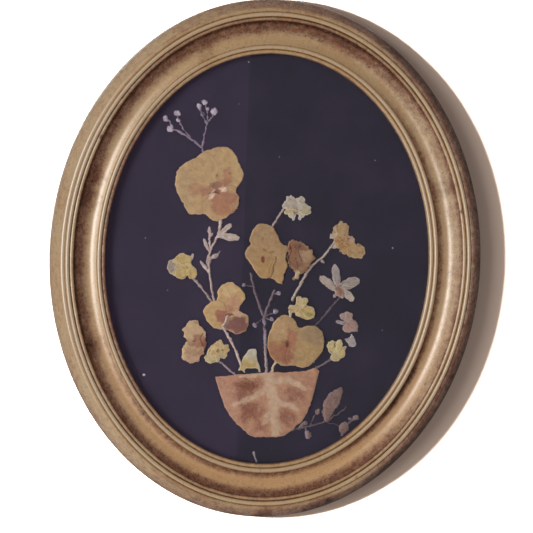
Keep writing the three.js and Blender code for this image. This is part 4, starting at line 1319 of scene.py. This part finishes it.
def build_stems():
    """The stems, the forked twig and the two sprigs."""
    pinkish = dict(rim=(180, 164, 162), slot="pale_stem")
    leaf = (176, 162, 152)
    build_stem("stem_leafy", (176, 156, 148), (188, 174, 164), **pinkish,
               patches=[((-29, 20), (2, 6), 0, (164, 142, 116), 0.7),
                        ((-32, -20), (3, 9), 0, (158, 140, 136), 0.6)],
               leaves=[
                   ((-34.3, 1.8), (-34.7, -5), 3, 0.3, (158, 138, 132)),
                   ((-34.3, 6.9), (-34.7, 18.3), 1.6, 0.7, (160, 146, 142)),
                   ((-34.6, 12), (-32.6, 14.4), 1.7, 0.4, (164, 150, 146)),
                   ((-34.4, 13), (-35.9, 15.6), 1.4, 0.4, (160, 146, 144)),
                   ((-34.6, 3.4), (-38, 10.6), 2, 0.7, (160, 146, 142)),
                   ((-33.8, -9.6), (-39.5, -2.2), 2, 0.5, (166, 152, 148)),
                   ((-34.6, -1.4), (-28.8, 2.1), 2.8, 0.6, (150, 136, 134)),
                   ((-30.2, 1), (-28, 3.9), 1, 0.2, (134, 122, 126)),
                   ((-30.2, 12), (-21.6, 20.2), 3, 0.8, (178, 166, 154)),
                   ((-30.6, 12.6), (-16.6, 11.8), 4.4, 0.45, leaf),
               ])
    build_stem("stem_yellow_left", (156, 138, 136), (162, 146, 142), **pinkish,
               leaves=[((-40.4, -15.6), (-38.8, -17.8), 1.9, 0.4, (140, 124, 126))])
    build_stem("stem_low_left", (146, 128, 130), (150, 136, 134), **pinkish)
    build_stem("stem_cream_top", (160, 144, 142), (160, 146, 142), **pinkish)
    build_stem("stem_orange", (168, 152, 142), (166, 154, 146), **pinkish)
    build_stem("stem_heart", (188, 168, 140), (180, 164, 142), **pinkish)
    build_stem("stem_pansy_left", (184, 164, 156), (180, 164, 156), **pinkish,
               base=7.3, arch=pansy_stem_arch)
    lilac = dict(rim=(148, 136, 146), slot="lilac_twig")
    build_stem("stem_white_star", (92, 78, 84), (104, 90, 94), **lilac)
    build_stem("stem_yellow_right", (118, 100, 106), (134, 116, 118), **lilac)
    build_stem("twig_forked", (112, 94, 102), (138, 128, 142), **lilac, warp=0.5, swell=0.4,
               patches=[((1.2, -56), (2.4, 15), 0, (164, 138, 122), 0.9)])
    build_stem("sprig_top", (136, 122, 138), (172, 162, 176), **lilac, warp=0.8, swell=0.6)
    mauve = dict(rim=(134, 118, 120), slot="mauve_petal")
    build_stem("sprig_low_right", (92, 80, 90), (122, 97, 92), **mauve, warp=0.8, swell=0.45,
               patches=[((42, -84), (6, 12), -25, (116, 82, 70), 0.95)],
               leaves=[
                   ((21.6, -99.4), (27, -95), 2.2, 0.6, (120, 108, 110)),
                   ((26.4, -99.6), (29, -105.4), 3.6, 0.9, (134, 122, 134)),
                   ((48, -103), (49.6, -94.8), 5.4, 0.6, (116, 98, 104)),
                   ((53.4, -94.4), (57.2, -90.6), 2.8, 0.8, (132, 116, 122)),
                   ((53.9, -93.5), (51.4, -92.4), 1.6, 0.4, (124, 110, 116)),
               ])
    build_stem("stem_scrap", (150, 140, 146), (150, 140, 146), rim=(170, 160, 164), slot="white_petal")


# ---- Specks on the card ----
SPECKS = [((-70.1, -69.9), 0.9), ((74.5, 8.8), 0.6), ((-15, 114.7), 0.5), ((62, 60), 0.35),
          ((-58, -20), 0.3), ((30, -60), 0.3), ((70, -40), 0.3), ((-20, 90), 0.3), ((5, 60), 0.3),
          ((-72, 10), 0.35)]
SPECK_SIDES = 9
SPECK_TOP = 0.62
SPECK_RISE = 0.3
SPECK_GAP = 0.02


def build_specks():
    """Bits of lint and pollen that were shut in with the flowers: small uneven flat-topped mounds."""
    card_front = height_of("ground_card")[1]
    turns = np.linspace(0, 2 * np.pi, SPECK_SIDES, endpoint=False)
    sides = range(SPECK_SIDES)
    vertices, faces = [], []
    for (x, z), radius in SPECKS:
        foot = len(vertices)
        top = foot + SPECK_SIDES
        reach = radius * rng.uniform(0.55, 1.1, SPECK_SIDES)
        for share, height in ((1, SPECK_GAP), (SPECK_TOP, SPECK_RISE * radius)):
            ring_x, ring_z = x + share * reach * np.cos(turns), z + share * reach * np.sin(turns)
            vertices += [tuple(p) for p in world(ring_x, ring_z, card_front + height)]
        for i in sides:
            j = (i + 1) % SPECK_SIDES
            faces.append((foot + i, foot + j, top + j, top + i))
        faces.append(tuple(top + i for i in sides))
        faces.append(tuple(foot + i for i in reversed(sides)))
    new_piece("card_specks", vertices, faces, [lint_material()])


# ---- What keeps its CAD shape and gets its finish ----
def give(node, material):
    piece = frame["nodes"][node]
    piece.data.materials.clear()
    piece.data.materials.append(material)


def finish_cad_nodes():
    """The glass, card, board and fittings get their materials. The glass casts no shadow."""
    give("glass", glass_material())
    frame["nodes"]["glass"].visible_shadow = False
    give("ground_card", card_material())
    give("backing_board", hardboard_material())
    zinc = metal_material("zinc", linear(196, 198, 200), linear(120, 122, 126), 0.38)
    for node in frame["nodes"]:
        if node.startswith("glazier_point"):
            give(node, zinc)
    brass = metal_material("brassed_steel", linear(206, 170, 96), linear(126, 98, 56), 0.3)
    for node in ("sawtooth_hanger", "hanger_pin_left", "hanger_pin_right"):
        give(node, brass)


# ---- Stage, light and camera ----
CAMERA_DISTANCE = 1.5
CAMERA_AZIMUTH = -7.633
CAMERA_ELEVATION = 1.919
CAMERA_ROLL = 2.056
CAMERA_LENS = 172.0
AIM_RIGHT = 0.41 * MM
AIM_DROP = 4.66 * MM
# Lamps: azimuth, elevation, distance, width and height, power and colour.
KEY = (-38, 3, 1.7, (0.5, 0.95), 16, (1, 0.985, 0.96))
BACK_LAMP = (180, 12, 1.6, (1.2, 0.9), 16)
SHADOW_LAMP = (-45.6, 2.6, 1.7, (0.09, 0.09), 220)
WALL_TONE = (0.46, 0.36, 0.3)
WALL_WARMTH = (0.02, 0.01, 0.008)
FLOOR_TONE = (0.8, 0.79, 0.77)
STAGE_REACH = 5.0
FLOOR_DROP = 0.9
# The panel that only reflections see, on the camera's side: its glow and where it ends.
PANEL_GLOW = (0.33, 0.2, 0.38)
PANEL_LEFT = -0.3
PANEL_RIGHT = 0.234
PANEL_PLACE = -2.0
PANEL_HALF_HEIGHT = 0.6
# How bright the room is: below, above, the share left behind the camera, and seen directly.
SKY_BELOW = 0.14
SKY_ABOVE = 0.59
SKY_SHARE_BEHIND = 0.2
SKY_BEHIND_ENDS = -0.75
SKY_SEEN = 0.82


def direction(azimuth, elevation):
    """The way from the picture to a place in the room, given by two angles in degrees."""
    a, e = math.radians(azimuth), math.radians(elevation)
    return Vector((math.sin(a) * math.cos(e), -math.cos(a) * math.cos(e), math.sin(e)))


def build_camera():
    way = direction(CAMERA_AZIMUTH, CAMERA_ELEVATION)
    right = Vector((0, 0, 1)).cross(way).normalized()
    up = way.cross(right)
    roll = math.radians(CAMERA_ROLL)
    rolled_right = right * math.cos(roll) + up * math.sin(roll)
    rolled_up = up * math.cos(roll) - right * math.sin(roll)
    place = CENTRE + way * CAMERA_DISTANCE
    aim = CENTRE + rolled_right * AIM_RIGHT - rolled_up * AIM_DROP
    back = (place - aim).normalized()
    side = rolled_up.cross(back).normalized()
    turn = Matrix((side, back.cross(side), back)).transposed()
    data = bpy.data.cameras.new("camera")
    data.lens = CAMERA_LENS
    camera = bpy.data.objects.new("camera", data)
    bpy.context.scene.collection.objects.link(camera)
    camera.matrix_world = Matrix.LocRotScale(place, turn, None)
    bpy.context.scene.camera = camera


def stage_plane(name, corners, material):
    """A flat sheet of the stage, which isn't part of the object."""
    mesh = bpy.data.meshes.new(name)
    mesh.from_pydata(corners, [], [(0, 1, 2, 3)])
    mesh.materials.append(material)
    plane = bpy.data.objects.new(name, mesh)
    bpy.context.scene.collection.objects.link(plane)
    return plane


def wall_material():
    """A matt wall that is only there from the front, with a warm floor to its shadows."""
    material = bpy.data.materials.new("stage_wall")
    material.use_nodes = True
    tree = material.node_tree
    tree.nodes.remove(tree.nodes["Principled BSDF"])

    def node(kind, **values):
        made = tree.nodes.new(kind)
        for socket, value in values.items():
            made.inputs[socket].default_value = value
        return made

    matt = node("ShaderNodeBsdfDiffuse", Color=(*WALL_TONE, 1))
    warm = node("ShaderNodeEmission", Color=(*WALL_WARMTH, 1))
    front = node("ShaderNodeAddShader")
    choose = node("ShaderNodeMixShader")
    tree.links.new(matt.outputs[0], front.inputs[0])
    tree.links.new(warm.outputs[0], front.inputs[1])
    tree.links.new(node("ShaderNodeNewGeometry").outputs["Backfacing"], choose.inputs[0])
    tree.links.new(front.outputs[0], choose.inputs[1])
    tree.links.new(node("ShaderNodeBsdfTransparent").outputs[0], choose.inputs[2])
    tree.links.new(choose.outputs[0], tree.nodes["Material Output"].inputs["Surface"])
    return material


def only_seen_by(thing, *rays):
    for ray in ("camera", "diffuse", "glossy", "transmission", "shadow", "volume_scatter"):
        setattr(thing, f"visible_{ray}", ray in rays)


def build_wall():
    """The wall behind the picture, which takes its shadow and lights nothing."""
    r = STAGE_REACH
    wall = stage_plane("stage_wall", [(-r, 0, -r), (r, 0, -r), (r, 0, r), (-r, 0, r)], wall_material())
    only_seen_by(wall, "camera")
    light_only(wall)


def build_floor():
    r = STAGE_REACH
    level = CENTRE.z - FLOOR_DROP
    pale = Shader("stage_floor", Roughness=0.9, Base_Color=(*FLOOR_TONE, 1))
    corners = [(-r, -r, level), (r, -r, level), (r, r, level), (-r, r, level)]
    stage_plane("stage_floor", corners, pale.material)


def build_panel():
    """A glowing panel that makes the glass look paler over the left part of the card."""
    glow = Shader("stage_panel", Base_Color=(0, 0, 0, 1), Specular_IOR_Level=0.0,
                  Emission_Color=(*PANEL_GLOW, 1), Emission_Strength=1.0)
    bottom, top = CENTRE.z - PANEL_HALF_HEIGHT, CENTRE.z + PANEL_HALF_HEIGHT
    corners = [(PANEL_LEFT, PANEL_PLACE, bottom), (PANEL_LEFT, PANEL_PLACE, top),
               (PANEL_RIGHT, PANEL_PLACE, top), (PANEL_RIGHT, PANEL_PLACE, bottom)]
    panel = stage_plane("stage_panel", corners, glow.material)
    only_seen_by(panel, "glossy")


def area_light(name, azimuth, elevation, distance, size, power, colour=(1, 1, 1)):
    """A rectangular lamp that faces the picture."""
    data = bpy.data.lights.new(name, "AREA")
    data.shape = "RECTANGLE"
    data.size, data.size_y = size
    data.energy = power
    data.color = colour
    lamp = bpy.data.objects.new(name, data)
    bpy.context.scene.collection.objects.link(lamp)
    way = direction(azimuth, elevation)
    lamp.location = CENTRE + way * distance
    lamp.rotation_mode = "QUATERNION"
    lamp.rotation_quaternion = way.to_track_quat("Z", "Y")
    return lamp


def light_only(wall):
    """A hard lamp for the wall alone, so that the picture's shadow on it has an edge."""
    lamp = area_light("shadow_lamp", *SHADOW_LAMP)
    receivers = bpy.data.collections.new("shadow_lamp_receivers")
    receivers.objects.link(wall)
    lamp.light_linking.receiver_collection = receivers


def build_light():
    key = area_light("key", *KEY)
    key.visible_transmission = False
    area_light("back", *BACK_LAMP)
    build_world()
    settings = bpy.context.scene.view_settings
    settings.view_transform = "Standard"
    settings.look = "None"


def build_world():
    """A room that is lighter above than below and dark behind the camera. Seen directly it is pale."""
    sky = bpy.data.worlds.new("studio")
    sky.use_nodes = True
    tree = sky.node_tree

    def ramp(value, *limits):
        node = tree.nodes.new("ShaderNodeMapRange")
        tree.links.new(value, node.inputs[0])
        for socket, limit in zip(node.inputs[1:5], limits):
            socket.default_value = limit
        return node.outputs[0]

    split = tree.nodes.new("ShaderNodeSeparateXYZ")
    tree.links.new(tree.nodes.new("ShaderNodeTexCoord").outputs["Generated"], split.inputs[0])
    product = tree.nodes.new("ShaderNodeMath")
    product.operation = "MULTIPLY"
    upward = ramp(split.outputs["Z"], -1, 1, SKY_BELOW, SKY_ABOVE)
    behind = ramp(split.outputs["Y"], -1, SKY_BEHIND_ENDS, SKY_SHARE_BEHIND, 1)
    tree.links.new(upward, product.inputs[0])
    tree.links.new(behind, product.inputs[1])
    seen = tree.nodes.new("ShaderNodeMix")
    tree.links.new(tree.nodes.new("ShaderNodeLightPath").outputs["Is Camera Ray"], seen.inputs[0])
    tree.links.new(product.outputs[0], seen.inputs[2])
    seen.inputs[3].default_value = SKY_SEEN
    tree.links.new(seen.outputs[0], tree.nodes["Background"].inputs["Color"])
    bpy.context.scene.world = sky


build_camera()
build_wall()
build_floor()
build_panel()
build_light()
build_moulding()
finish_cad_nodes()
build_pansies()
build_crumpled_flowers()
build_small_flowers()
build_pot()
build_stems()
build_specks()
